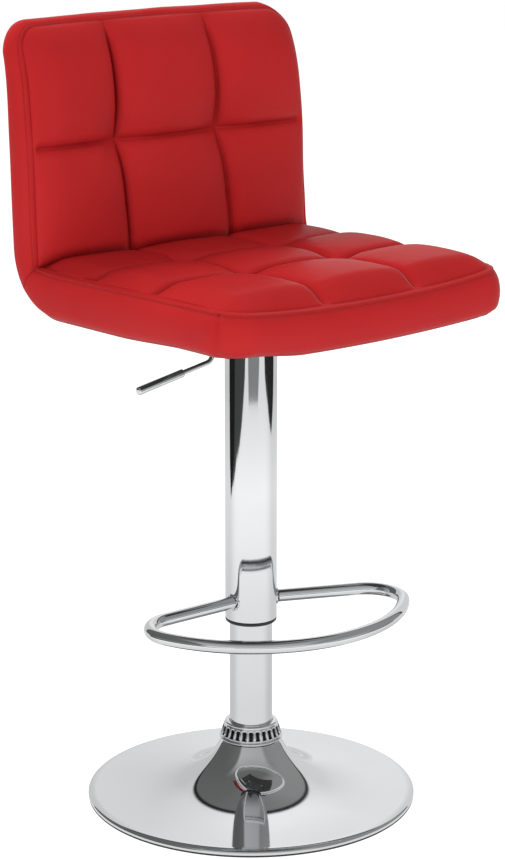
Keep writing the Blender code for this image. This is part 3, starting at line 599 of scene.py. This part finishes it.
def band_half():
    """Stations along the right half of the band, as (outer point, seam point, outward)."""
    rows = []
    for x in np.linspace(0, SPAN, 30)[:-1]:
        y = front_line(x)
        hang = 0.0035 * (1 - (x / SPAN) ** 2)
        rows.append(((x, y, BOTTOM - hang), (x, y, front_seam_height(x)), (0, -1, 0)))
    near_seam = CORNER_SEAM + np.array([-1.8, 0.0, 1.8])
    for a in np.radians(np.sort([*np.linspace(-90, 0, 16)[:-1], *near_seam])):
        x, y = SPAN + CORNER * cos(a), FRONT + CORNER + CORNER * sin(a)
        rows.append(((x, y, FOLD_Z), (x, y, front_seam_height(x)), (cos(a), sin(a), 0)))
    start = FRONT + CORNER
    for y in np.linspace(start, BEND_Y, 44)[:-1]:
        lift = 0.0005 * smoothstep((y - start) / 0.05)
        rows.append(((SIDE, y, FOLD_Z + lift), (SIDE, y, SEAM_Z), (1, 0, 0)))
    near_crease = (-46.5, -45.7, -45.0, -44.3, -43.5, -42.0)
    for angle in (*np.linspace(-90, -48, 12), *near_crease, *np.linspace(-38, 0, 9)):
        a = radians(angle)
        radius = BEND_R - edge_inset(angle)
        outer = (SIDE, BEND_Y + radius * cos(a), BEND_Z + radius * sin(a))
        past_crease = (angle + 45) / 45
        if past_crease <= 0:
            y = CREASE_Y + (CREASE_Y - BEND_Y) * past_crease
            z = CREASE_Z + (CREASE_Z - SEAM_Z) * past_crease
        else:
            z = CREASE_Z + (BACK_SEAM_START - CREASE_Z) * past_crease
            y = back_seam(z)
        rows.append((outer, (SIDE, y, z), (1, 0, 0)))

    def behind(x, outer_z, z, outward):
        rows.append(((x * narrow(outer_z), rear_face(outer_z) - REAR_EDGE, outer_z),
                     (x * narrow(z), back_seam(z), z), outward))

    high = top_line(SIDE)
    for share in np.linspace(0, 1, 38)[1:-1]:
        behind(SIDE, BEND_Z + (high - BEND_Z) * share,
               BACK_SEAM_START + (high - BACK_SEAM_START) * share, (1, 0, 0))
    for a in np.radians(np.linspace(0, 90, 16)):
        x = SIDE - TOP_CORNER + TOP_CORNER * cos(a)
        z = high + TOP_CORNER * sin(a) + arch(x)
        behind(x, z, z, (cos(a), 0, sin(a)))
    for x in np.linspace(SIDE - TOP_CORNER, 0, 28)[1:]:
        z = TOP_SEAM + arch(x)
        behind(x, z, z, (0, 0, 1))
    return [tuple(np.array(v, float) for v in row) for row in rows]


def band_rows():
    """Stations all round the band. The left front corner hangs a little less than the right."""
    half = band_half()
    mirrored = []
    for row in half[1:-1]:
        outer, seam, outward = (v * (-1, 1, 1) for v in row)
        if outer[2] < BOTTOM + 0.003:
            share = smoothstep(-(outer[1] + 0.01) / 0.13) * smoothstep(-(outer[0] + 0.1) / 0.07)
            outer[2] += 0.0045 * share
        mirrored.append((outer, seam, outward))
    return half + mirrored[::-1]


def band_point(row, share, extra=0.0):
    """A point of the band at a share of its width; it bulges less round the back's top and
    left."""
    outer, seam, outward = row
    amount = np.interp(share, BAND_SHARES, BAND_BULGE)
    scale = 1.0 - 0.45 * max(outward[2], 0.0)
    scale -= 0.3 * max(outward[0], 0.0) * smoothstep((outer[2] - 0.66) / 0.06)
    return outer + (seam - outer) * share + outward * (amount * scale + extra)


def hump(share):
    """1 in the middle of the way from 0 to 1, and 0 at its ends and beyond."""
    return max(0.0, sin(pi * min(max(share, 0), 1)))


def boxing_band():
    rows = band_rows()
    centres = np.array([band_point(r, 0.5) for r in rows])
    seams = []
    turn = radians(CORNER_SEAM)
    for sign in (-1, 1):
        corner = (sign * (SPAN + CORNER * cos(turn)), FRONT + CORNER + CORNER * sin(turn))
        away = np.abs(centres[:, :2] - corner).sum(1)
        seams.append(np.argmin(np.where(centres[:, 2] > BEND_Z, np.inf, away)))
    points = np.zeros((len(rows), len(BAND_SHARES), 3))
    for i, row in enumerate(rows):
        at_crease = np.allclose(row[1][1:], (CREASE_Y, CREASE_Z), rtol=0, atol=1e-6)
        x, y, z = centres[i]
        for j, share in enumerate(BAND_SHARES):
            extra = 0.0007 * hump(share) * wrinkle(y + z, x + share * 0.05, 12.5, 22.0)
            if at_crease or i in seams:
                extra -= SEAM_GROOVE * min(1.0, 8 * hump(share))
            points[i, j] = band_point(row, share, extra)
    skin("edge_band", points, (0, -1, 0), close_rows=True)


STITCH_PITCH, STITCH_LENGTH, STITCH_RADIUS, STITCH_SIDES = 0.0036, 0.0026, 0.00034, 6
STITCH_RINGS = ((0.0, 0.35), (0.2, 1.0), (0.8, 1.0), (1.0, 0.35))  # (share of length, width)


def stitches():
    """Thread stitches along the topstitch line, each a short spindle lying on the leather."""
    rows = band_rows()
    rows.append(rows[0])
    line = np.array([band_point(r, SEAM_SHARE, 0.0002) for r in rows])
    outward = np.array([r[2] for r in rows])
    run = np.concatenate([[0], np.cumsum(np.linalg.norm(np.diff(line, axis=0), axis=1))])
    count = int(run[-1] / STITCH_PITCH)

    def along(values, at):
        return np.array([np.interp(at, run, values[:, c]) for c in range(3)])

    verts, faces = [], []
    for at in run[-1] * np.arange(count) / count:
        start, end = along(line, at), along(line, at + STITCH_LENGTH)
        axis = (end - start) / np.linalg.norm(end - start)
        side = np.cross(axis, along(outward, at))
        side /= np.linalg.norm(side)
        up = np.cross(side, axis)
        faces += bar_faces(len(STITCH_RINGS), STITCH_SIDES, len(verts))
        for share, width in STITCH_RINGS:
            radius = STITCH_RADIUS * width
            verts += ring(start + (end - start) * share, side * radius, up * radius, STITCH_SIDES)
    piece("topstitching", verts, faces, "seat", "leather", material=thread)


# ---------------- rear panel and underside
def rear_panel():
    edge = SIDE + 0.005
    radius = TOP_CORNER + 0.004
    x_line = spread(edge, radius, 90)
    head = TOP_SEAM + 0.003 - rounded(x_line, edge, radius) + arch(x_line)
    rows = []  # of y, z, the normal's y and z, and the bend's angle
    for share in np.linspace(0, 1, 70):
        z = head + (BEND_Z - head) * share
        rows.append((rear_face(z), z, 1.0, 0.0, 0.0))
    for angle in np.linspace(0, -90, 26)[1:]:
        ny, nz = cos(radians(angle)), sin(radians(angle))
        rows.append((BEND_Y + BEND_R * ny, BEND_Z + BEND_R * nz, ny, nz, angle))
    for share in np.linspace(0, 1, 5)[1:]:
        rows.append((BEND_Y + (rear_low.y - BEND_Y) * share, BOTTOM, 0.0, -1.0, -90.0))
    points = np.zeros((len(rows), len(x_line), 3))
    for i, (y, z, ny, nz, angle) in enumerate(rows):
        from_edge = edge - np.abs(x_line)
        if angle == 0.0:
            from_edge = np.minimum(from_edge, head - z)
        dome = np.sqrt(1 - (1 - np.clip(from_edge / 0.006, 0, 1)) ** 2)
        upright = smoothstep((angle + 90) / 40)
        belly = 0.002 * upright * (1 - (x_line / edge) ** 2)
        wave = 0.0006 * upright * wrinkle(x_line, z, 6.6, 14.0)
        out = (belly + wave) * dome - edge_inset(angle) * (1 - dome)
        points[i, :, 0], points[i, :, 1] = x_line * narrow(z), y + ny * out
        points[i, :, 2] = z + nz * out
    skin("rear_panel", points, (0, 1, 0), replaces=("rear_cover",))


def under_wrap():
    """The leather turned under the board along the front and the sides, pleated at corners."""
    rows = [r for r in band_rows() if r[0][2] < BOTTOM + 0.002 and r[0][1] < BEND_Y - 0.012]
    rows.sort(key=lambda r: atan2(r[0][0], 0.05 - r[0][1]))
    shares = [-0.2, *np.linspace(0, 1, 12)]
    width = 0.034
    points = np.zeros((len(rows), len(shares), 3))
    for i, row in enumerate(rows):
        outward = row[2]
        start = band_point(row, 0.0)
        corner = abs(outward[0] * outward[1]) * 2
        for j, share in enumerate(shares):
            height = start[2] - 0.0004 + (BOTTOM + 0.0001 - start[2]) * smoothstep(share / 0.45)
            pleat = abs(0.0008 * corner * sin(i * 2.4) * hump(share))
            points[i, j] = start - outward * width * share
            points[i, j, 2] = height - pleat
        points[i, 0] = start + outward * 0.0002 + (0, 0, 0.0012)
    skin("under_wrap", points, (-1, 0, -0.3))


def dust_sheet():
    """The black cloth under the seat, turned in at its edge, with soft slack between staples."""
    half_x = (dust_high.x - dust_low.x) / 2
    half_y = (dust_high.y - dust_low.y) / 2
    middle = (dust_high + dust_low) / 2
    across, along = 95, 70
    u, v = np.meshgrid(np.linspace(-1, 1, across), np.linspace(-1, 1, along))
    x, y = middle.x + half_x * u, middle.y + half_y * v
    from_plate = np.maximum(np.maximum(np.abs(x) - plate_high.x, np.abs(y) - plate_high.y), 0)
    from_edge = np.minimum(half_x * (1 - np.abs(u)), half_y * (1 - np.abs(v)))
    slack = smoothstep(from_plate / 0.03) * smoothstep(from_edge / 0.03)
    sag = slack * (0.0012 + 0.0007 * wrinkle(x, y, 2.2, 30.0))
    hem = np.where(from_edge < 0.006, 0.0002, 0.0)
    verts = np.stack([x, y, dust_low.z + 0.0003 - sag - hem], -1).reshape(-1, 3)
    thing = piece("dust_sheet", verts, grid_faces(along, across), "seat", "dust_cloth", ("dust_cover",))
    thicken(thing, 0.0003, 0.0)


STAPLE_PATH = ((-0.005, 0.0008), (-0.0048, 0.0001), (-0.0042, -0.0002), (0.0042, -0.0002),
               (0.0048, 0.0001), (0.005, 0.0008))  # (along, up)
STAPLE_INSET, STAPLE_END, STAPLE_SIDES = 0.005, 0.02, 8
STAPLE_WIDTH, STAPLE_THICKNESS = 0.00055, 0.0003  # half the wire's section


def staples():
    """Wire staples round the dust cloth's edge, each a little off the line."""
    low, high = dust_low, dust_high
    places = []
    for x in np.linspace(low.x + STAPLE_END, high.x - STAPLE_END, 12):
        places += [(x, low.y + STAPLE_INSET, 0), (x, high.y - STAPLE_INSET, 0)]
    for y in np.linspace(low.y + STAPLE_END, high.y - STAPLE_END, 8):
        places += [(low.x + STAPLE_INSET, y, 90), (high.x - STAPLE_INSET, y, 90)]
    verts, faces = [], []
    for k, (x, y, turn) in enumerate(places):
        angle = radians(turn + 6 * sin(k * 2.7))
        along = Vector((cos(angle), sin(angle), 0))
        across = Vector((-along.y, along.x, 0))
        faces += bar_faces(len(STAPLE_PATH), STAPLE_SIDES, len(verts))
        for s, up in STAPLE_PATH:
            centre = Vector((x, y, low.z - 0.0004 + up)) + along * s
            verts += ring(centre, across * STAPLE_WIDTH, Vector((0, 0, STAPLE_THICKNESS)), STAPLE_SIDES)
    piece("staples", verts, faces, "seat", "steel")


# ---------------- chrome
WALL = 0.0015  # of both tubes
BORE = column_high.x  # outer radius of the column, which the rest fits round
FIT = 0.0003  # gap round it


def turned(name, profile, body, slot, replaces, steps, shape=None, place=None, material=None, sharp=30.0):
    """A solid turned from a closed profile of (radius, height) points. shape may move a point,
    given its radius, height and angle."""
    verts = []
    for k in range(steps):
        a = 2 * pi * k / steps
        for r, z in profile:
            moved = shape(r, z, a) if shape else r
            point = Vector((moved * cos(a), moved * sin(a), z))
            verts.append(place @ point if place else point)
    faces = grid_faces(steps, len(profile), close_rows=True, close_columns=True)
    piece(name, verts, faces, body, slot, replaces, material, sharp=sharp, weld=1e-6)


def fillet(centre, radius, start, end, count):
    """Points along an arc from one angle to another, in degrees."""
    angles = np.radians(np.linspace(start, end, count))
    return [(centre[0] + radius * cos(a), centre[1] + radius * sin(a)) for a in angles]


def thick(outer, wall):
    """Close an outer profile with the same line one wall thickness inside it."""
    inner = []
    for i, point in enumerate(outer):
        before = Vector(outer[max(i - 1, 0)])
        after = Vector(outer[min(i + 1, len(outer) - 1)])
        along = (after - before).normalized()
        inner.append((point[0] + along.y * wall, point[1] - along.x * wall))
    return outer + inner[::-1]


def trumpet_base():
    radius, top = base_high.x, base_high.z
    neck, flare_end = 0.0345, radius - 0.006
    scale, offset, level = 0.00231, 0.003, -0.004  # of the hyperbola of the flare
    rim, rim_round = 0.0075, 0.0032
    outer = [(BORE + FIT, top), (neck - 0.006, top)]
    outer += fillet((neck - 0.0035, top - 0.0025), 0.0025, 90, 30, 5)
    for i in range(1, 64):
        r = neck + (flare_end - neck) * (i / 63) ** 1.5
        outer.append((r, scale / (r - offset) + level))
    outer += fillet((radius - rim_round, rim - rim_round), rim_round, 78, 0, 9)
    outer += [(radius, 0.0032), (radius - 0.0003, 0.0026)]
    turned("trumpet_base", thick(outer, 0.0014), "base", "chrome", ("base_shell",), 192)


def rubber_ring():
    """The ring in the rim, with a lip that shows as a thin dark line under the chrome."""
    r, lip = ring_high.x, base_high.x - 0.0004
    profile = [(r, 0.003), (r, 0.0023), (lip, 0.0023), (lip, 0.0008), (lip - 0.0008, 0.0),
               (r - 0.0115, 0.0), (r - 0.012, 0.0005), (r - 0.012, 0.003)]
    turned("rubber_ring", profile, "base", "rubber", ("floor_ring",), 144)


def lower_column():
    low, high = column_low.z, column_high.z
    tube = [(BORE, low), (BORE, high - 0.0006), (BORE - 0.0006, high), (BORE - WALL, high),
            (BORE - WALL, low)]
    turned("lower_column", tube, "base", "chrome", ("column_tube",), 128)


def fluted_collar():
    low, high, lip = collar_low.z, collar_high.z, collar_high.x
    inner = BORE + FIT
    flute_low, flute_high, flute_count = low + 0.0052, low + 0.0166, 26
    flute_foot, flute_lean = lip - 0.0014, 0.0034
    profile = [(inner, low + 0.004), (lip - 0.003, low + 0.004), (lip - 0.003, low)]
    profile += fillet((lip - 0.0016, low + 0.0018), 0.0016, -80, 80, 9)
    profile += [(lip - 0.0026, low + 0.0042), (lip - 0.0019, low + 0.005)]
    for t in np.linspace(0, 1, 15):
        profile.append((flute_foot - flute_lean * t ** 1.6, flute_low + (flute_high - flute_low) * t))
    profile += [(lip - 0.0056, low + 0.0176), (lip - 0.0056, low + 0.0184)]
    profile += fillet((lip - 0.008, low + 0.0198), 0.0018, -20, 95, 8)
    profile += [(lip - 0.0097, high - 0.0002), (inner + 0.0006, high), (inner, high - 0.0008)]

    def flutes(r, z, a):
        if r <= lip - 0.008:
            return r
        ends = smoothstep((z - flute_low) / 0.0014) * smoothstep((flute_high - z) / 0.0014)
        wave = 0.5 - 0.5 * cos(flute_count * a)
        return r - 0.002 * ends * wave ** 0.6

    finish = collar_material(flute_low, flute_high, flute_foot, flute_foot - flute_lean)
    turned("fluted_collar", profile, "base", "chrome", ("base_collar",), 300, shape=flutes,
           material=finish, sharp=0)


def upper_shroud():
    r, low, high = shroud_high.x, shroud_low.z, shroud_high.z
    tube = [(r - 0.0005, low), (r, low + 0.0005), (r, high - 0.0008), (r - 0.0008, high),
            (r - WALL, high), (r - WALL, low)]
    turned("upper_shroud", tube, "seat", "chrome", ("shroud_tube",), 144)
    inner, bottom, top = BORE + FIT, guide_low.z, guide_high.z
    profile = [(r - 0.0018, top), (r - 0.0018, low - 0.0003), (r - 0.0002, low - 0.0003),
               (r, low - 0.0009), (r - 0.0002, bottom + 0.0008), (r - 0.001, bottom),
               (inner + 0.0008, bottom), (inner, bottom + 0.0008), (inner, top)]
    turned("shroud_guide", profile, "seat", "black_plastic", ("shroud_ring",), 144)


def swept(name, route, normal, radius, body, replaces, sides):
    """A chrome bar along a flat route, with its ends rounded; normal is the route's plane."""
    last = len(route) - 1
    start, end = [(0.0, 0.8), (0.0008, 1.0)], [(-0.0008, 1.0), (0.0, 0.8)]  # (shift, width)
    verts = []
    for i, point in enumerate(route):
        along = (route[min(i + 1, last)] - route[max(i - 1, 0)]).normalized()
        side = along.cross(normal).normalized()
        for shift, width in {0: start, last: end}.get(i, [(0.0, 1.0)]):
            verts += ring(point + along * shift, side * radius * width, normal * radius * width, sides)
    piece(name, verts, bar_faces(len(verts) // sides, sides), body, "chrome", replaces, sharp=50, weld=1e-7)


FOOT_TURN = radians(-14.5)  # the footrest's turn about the column
ARM_Y = -0.0037  # where its arms leave the shroud, and how they sweep
ARM_SWEEP = radians(12)
FOOT_CORNER = 0.041  # radius of its corners and of its front arc
FOOT_FRONT = 0.1747
FOOT_REACH = 0.1785  # how far the front arc's line lies from the column
WELD_BEAD = 0.0017


def run_to_circle(start, direction, radius):
    """How far it is from a point, in a direction, to a circle round the origin."""
    half = start.dot(direction)
    return sqrt(half * half - start.dot(start) + radius * radius) - half


def foot_half():
    """The right half of the footrest's centre line, with its arm, corner and front arc."""
    front_centre = Vector((0.0, FOOT_FRONT - FOOT_REACH))
    along = Vector((cos(ARM_SWEEP), -sin(ARM_SWEEP)))
    inward = Vector((-sin(ARM_SWEEP), -cos(ARM_SWEEP)))
    start = Vector((0.0, ARM_Y))
    run = run_to_circle(start + FOOT_CORNER * inward - front_centre, along, FOOT_FRONT - FOOT_CORNER)
    corner = start + run * along + FOOT_CORNER * inward
    outwards = (corner - front_centre).normalized()
    turn_start = degrees(atan2(-inward.y, -inward.x))
    turn_end = degrees(atan2(outwards.y, outwards.x))
    arm = [tuple(start + along * d) for d in np.linspace(0.03, run - 0.002, 14)]
    bend = fillet(corner, FOOT_CORNER, turn_start, turn_end, 26)
    front = fillet(front_centre, FOOT_FRONT, turn_end, -90, 40)
    return arm + bend + front[1:], along


def footrest():
    """The D-shaped rail and the weld bead where each arm meets the shroud."""
    height = (foot_low.z + foot_high.z) / 2
    radius = (foot_high.z - foot_low.z) / 2
    right, along = foot_half()
    left = [(-x, y) for x, y in reversed(right[:-1])]
    turn = Matrix.Rotation(FOOT_TURN, 3, "Z")
    up = Vector((0, 0, 1))
    route = [turn @ Vector((x, y, height)) for x, y in right + left]
    swept("footrest_rail", route, up, radius, "seat", ("footrest_bar",), 40)
    verts, faces = [], []
    around, section = 48, 12
    for sign in (-1, 1):
        direction = Vector((sign * along.x, along.y, 0.0))
        side = Vector((-direction.y, direction.x, 0.0))
        faces += grid_faces(around, section, close_rows=True, close_columns=True, start=len(verts))
        for a in (2 * pi * k / around for k in range(around)):
            out = side * cos(a) + up * sin(a)
            start = Vector((0.0, ARM_Y, height)) + out * (radius + FIT)
            flat = Vector((start.x, start.y, 0.0))
            centre = start + direction * run_to_circle(flat, direction, shroud_high.x)
            radial = Vector((centre.x, centre.y, 0.0)).normalized()
            bead = WELD_BEAD * (1 + 0.18 * sin(11 * a + sign) + 0.1 * sin(23 * a))
            verts += [turn @ v for v in ring(centre, out * bead, radial * bead, section)]
    piece("footrest_welds", verts, faces, "seat", "chrome", weld=1e-7)


def lever():
    """The bent rod that presses the valve's button, with a sleeve for a grip. x and z."""
    radius, grip_radius = 0.003, 0.0048
    pivot = (-0.03, 0.5737)
    over = plate_high.z - radius
    tip, root = Vector((-0.165, 0.514)), Vector((-0.101, 0.525))
    route = [(0.0045, over), (-0.0065, over), (-0.01, over - 0.0004), (-0.013, over - 0.0011),
             pivot, (-0.04, 0.57)]
    route += fillet((-0.0486, 0.5575), 0.009, 105, 180, 12)
    route += fillet((-0.0666, 0.54), 0.009, 0, -80, 12)
    route += [root + (root - tip) * 0.02, tip + (root - tip) * 0.1]
    swept("height_lever", [Vector((x, 0.0, z)) for x, z in route], Vector((0, 1, 0)), radius,
          "lever", ("lever_rod",), 24)
    axis = Vector((root.x - tip.x, 0.0, root.y - tip.y))
    r, length, bore = grip_radius, axis.length, radius + FIT
    profile = [(bore, length), (r - 0.0012, length)]
    profile += fillet((r - 0.001, length - 0.001), 0.001, 90, 0, 6)
    profile += fillet((r - 0.0018, 0.0018), 0.0018, 0, -90, 8)
    profile += [(0.0, 0.0), (0.0, 0.0036), (bore, 0.0036)]
    turn = axis.to_track_quat("Z", "Y").to_matrix().to_4x4()
    turned("lever_grip", profile, "lever", "chrome", ("lever_sleeve",), 48,
           place=Matrix.Translation((tip.x, 0.0, tip.y)) @ turn)


for build in (seat_panel, back_panel, boxing_band, stitches, rear_panel, under_wrap, dust_sheet,
              staples, trumpet_base, rubber_ring, lower_column, fluted_collar, upper_shroud,
              footrest, lever):
    build()

# ---------------- floor, light and camera
CAMERA_PLACE = Vector((-1.85644, -2.10017, 1.16651))
CAMERA_DROP, CAMERA_TURN, CAMERA_LENS = 14.4746, -41.511, 106.17
TOWARDS = Vector((CAMERA_PLACE.x, CAMERA_PLACE.y, 0.0)).normalized()  # from the stool
RIGHT = Vector((-TOWARDS.y, TOWARDS.x, 0.0))
FLOOR_SIZE = 7.0  # half its width


def emitter(name, colour):
    """A material that only glows; colour(tree) is a colour or a socket."""
    material, tree, shader = new_material(name)
    tree.nodes.remove(shader)
    feed(tree.nodes["Material Output"].inputs["Surface"], add(tree, "Emission", Color=colour(tree)))
    return material


def stage_mesh(name, verts, faces, material, reflected_only=True):
    thing = mesh_object(name, verts, faces, material)
    if reflected_only:
        for ray in ("camera", "diffuse", "shadow", "transmission"):
            setattr(thing, "visible_" + ray, False)


def floor_corners(level):
    size = FLOOR_SIZE
    return [(-size, -size, level), (size, -size, level), (size, size, level), (-size, size, level)]


def floor():
    material, tree, shader = new_material("pale_floor")
    cloud = add(tree, "TexNoise", Vector=object_place(tree), Scale=2.0)
    settle(shader, Base_Color=ramp(tree, cloud, (0.0, 0.3), (1.0, 0.32)), Roughness=1.0,
           Specular_IOR_Level=0.0, Emission_Color=(1, 1, 1, 1), Emission_Strength=0.95)
    stage_mesh("floor", floor_corners(0.0), [range(4)], material, reflected_only=False)


def floor_glow():
    """The floor as the chrome sees it: a glowing copy that only reflections see, a painted reflection in
    rings, and darker behind the stool.
    """
    def colour(tree):
        place = object_place(tree)
        distance = vector(tree, "LENGTH", place, output="Value")
        share = add(tree, "MapRange", distance, 0.0, 3.0)
        rings = ramp(tree, share, (0.1, 0.8), (0.22, 0.88), (0.34, 0.98), (0.44, 1.05),
                     (0.58, 0.92), (0.7, 0.8), (1.0, 0.85))
        facing = vector(tree, "DOT_PRODUCT", vector(tree, "NORMALIZE", place), TOWARDS, output="Value")
        edge = add(tree, "MapRange", facing, -0.4, 0.5, 0.78, _interpolation_type="SMOOTHSTEP")
        shade = vector(tree, "SCALE", rings)
        feed(shade.node.inputs["Scale"], edge)
        return shade
    stage_mesh("floor_glow", floor_corners(0.0008), [range(4)], emitter("floor_glow", colour))


def sector(name, outline, level, grey):
    """A card just over the floor that glows a fixed grey and that only reflections see: a painted
    reflection. It is made from rows of (distance, first angle, last angle), with the angles to the right of
    the camera."""
    steps = 48
    verts = []
    for distance, start, end in outline:
        for a in np.radians(np.linspace(start, end, steps + 1)):
            point = (TOWARDS * cos(a) + RIGHT * sin(a)) * distance
            verts.append((point.x, point.y, level))
    stage_mesh(name, verts, grid_faces(len(outline), steps + 1),
               emitter(name, lambda tree: (grey, grey, grey, 1)))


def sky():
    """White to the camera, and even for soft light. Reflections see a bright window behind
    the stool, dark walls beside it, and a grey room in front."""
    world = bpy.data.worlds.new("studio")
    scene.world = world
    world.use_nodes = True
    tree = world.node_tree
    tree.nodes.clear()
    place = add(tree, "TexCoord", output="Generated")
    height = add(tree, "SeparateXYZ", place, output="Z")
    facing = vector(tree, "DOT_PRODUCT", place, TOWARDS, output="Value")
    away = maths(tree, "MULTIPLY", facing, -1.0)
    sideways = vector(tree, "DOT_PRODUCT", place, RIGHT, output="Value")
    share = maths(tree, "MULTIPLY_ADD", sideways, 0.5, 0.5)  # 0 at the left, 1 at the right
    in_front = add(tree, "MapRange", facing, -0.15, 0.25, _interpolation_type="SMOOTHSTEP")
    opening = ramp(tree, away, (0.0, 0.0), (0.7, 0.0), (0.718, 1.0))
    window = vector(
        tree, "MULTIPLY", ramp(tree, height, (0.0, 0.86), (0.5, 0.86), (0.62, 0.95), (1.0, 1.0)),
        ramp(tree, share, (0.36, 0.72), (0.45, 0.88), (0.5, 1.0), (0.56, 1.0), (0.64, 0.82)))
    behind_room = vector(
        tree, "MULTIPLY", ramp(tree, away, (0.0, 1.0), (0.668, 1.0), (0.682, 0.12), (1.0, 0.12)),
        ramp(tree, share, (0.0, 0.11), (0.4, 0.14), (0.5, 0.17), (0.62, 0.26), (1.0, 0.28)))
    front_room = vector(tree, "MULTIPLY", ramp(tree, height, (0.0, 0.85), (0.2, 0.8), (0.28, 0.5),
                               (0.6, 0.5), (0.78, 0.42), (0.9, 0.16), (1.0, 0.14)),
        ramp(tree, share, (0.05, 0.24), (0.2, 0.3), (0.25, 0.95), (0.78, 0.85), (0.85, 0.52), (1.0, 0.55)))
    walls = mix(tree, in_front, behind_room, front_room)
    room = add(tree, "Background", mix(tree, opening, walls, window), 1.0)
    even = add(tree, "Background", (1.0, 0.99, 0.985, 1), 0.52)
    white = add(tree, "Background", (1, 1, 1, 1), 1.0)
    rays = add(tree, "LightPath").node.outputs
    unseen = add(tree, "MixShader", rays["Is Glossy Ray"], even, room)
    seen = add(tree, "MixShader", rays["Is Camera Ray"], unseen, white)
    feed(tree.nodes.new("ShaderNodeOutputWorld").inputs["Surface"], seen)


def area_light(name, place, target, size, power):
    """A soft round light that reflections don't show."""
    data = bpy.data.lights.new(name, "AREA")
    data.shape, data.size, data.energy = "DISK", size, power
    lamp = bpy.data.objects.new(name, data)
    lamp.location = place
    lamp.rotation_euler = (Vector(target) - Vector(place)).to_track_quat("-Z", "Y").to_euler()
    lamp.visible_camera = lamp.visible_glossy = False
    scene.collection.objects.link(lamp)


floor()
sky()
floor_glow()
sector("card_left_dark", [(1.3, -100, -96), (1.55, -106, -78), (2.2, -108, -74),
                          (6.0, -108, -72)], 0.003, 0.012)
sector("card_left_grey", [(1.36, -96, -90), (1.55, -78, -66), (2.2, -74, -26),
                          (6.0, -72, -15)], 0.0028, 0.055)
sector("card_right", [(1.72, 98, 101), (1.95, 78, 112), (2.2, 62, 116), (6.0, 50, 118)], 0.003, 0.02)
sector("card_middle", [(1.97, -10, 30), (2.3, -12, 36), (6.0, -12, 38)], 0.0026, 0.24)
area_light("key", (-2.8, -1.1, 1.8), (0, 0, 0.6), 1.6, 47)
area_light("fill", (0.7, -3.2, 1.4), (0, 0, 0.6), 1.6, 34)
area_light("top", (-0.1, 1.5, 2.6), (0, -0.05, 0.62), 0.9, 50)

camera_data = bpy.data.cameras.new("camera")
camera_data.sensor_width, camera_data.lens = 36.0, CAMERA_LENS
camera = bpy.data.objects.new("camera", camera_data)
camera.location = CAMERA_PLACE
camera.rotation_euler = (radians(90 - CAMERA_DROP), 0.0, radians(CAMERA_TURN))
scene.collection.objects.link(camera)
scene.camera = camera
scene.view_settings.view_transform = "Standard"
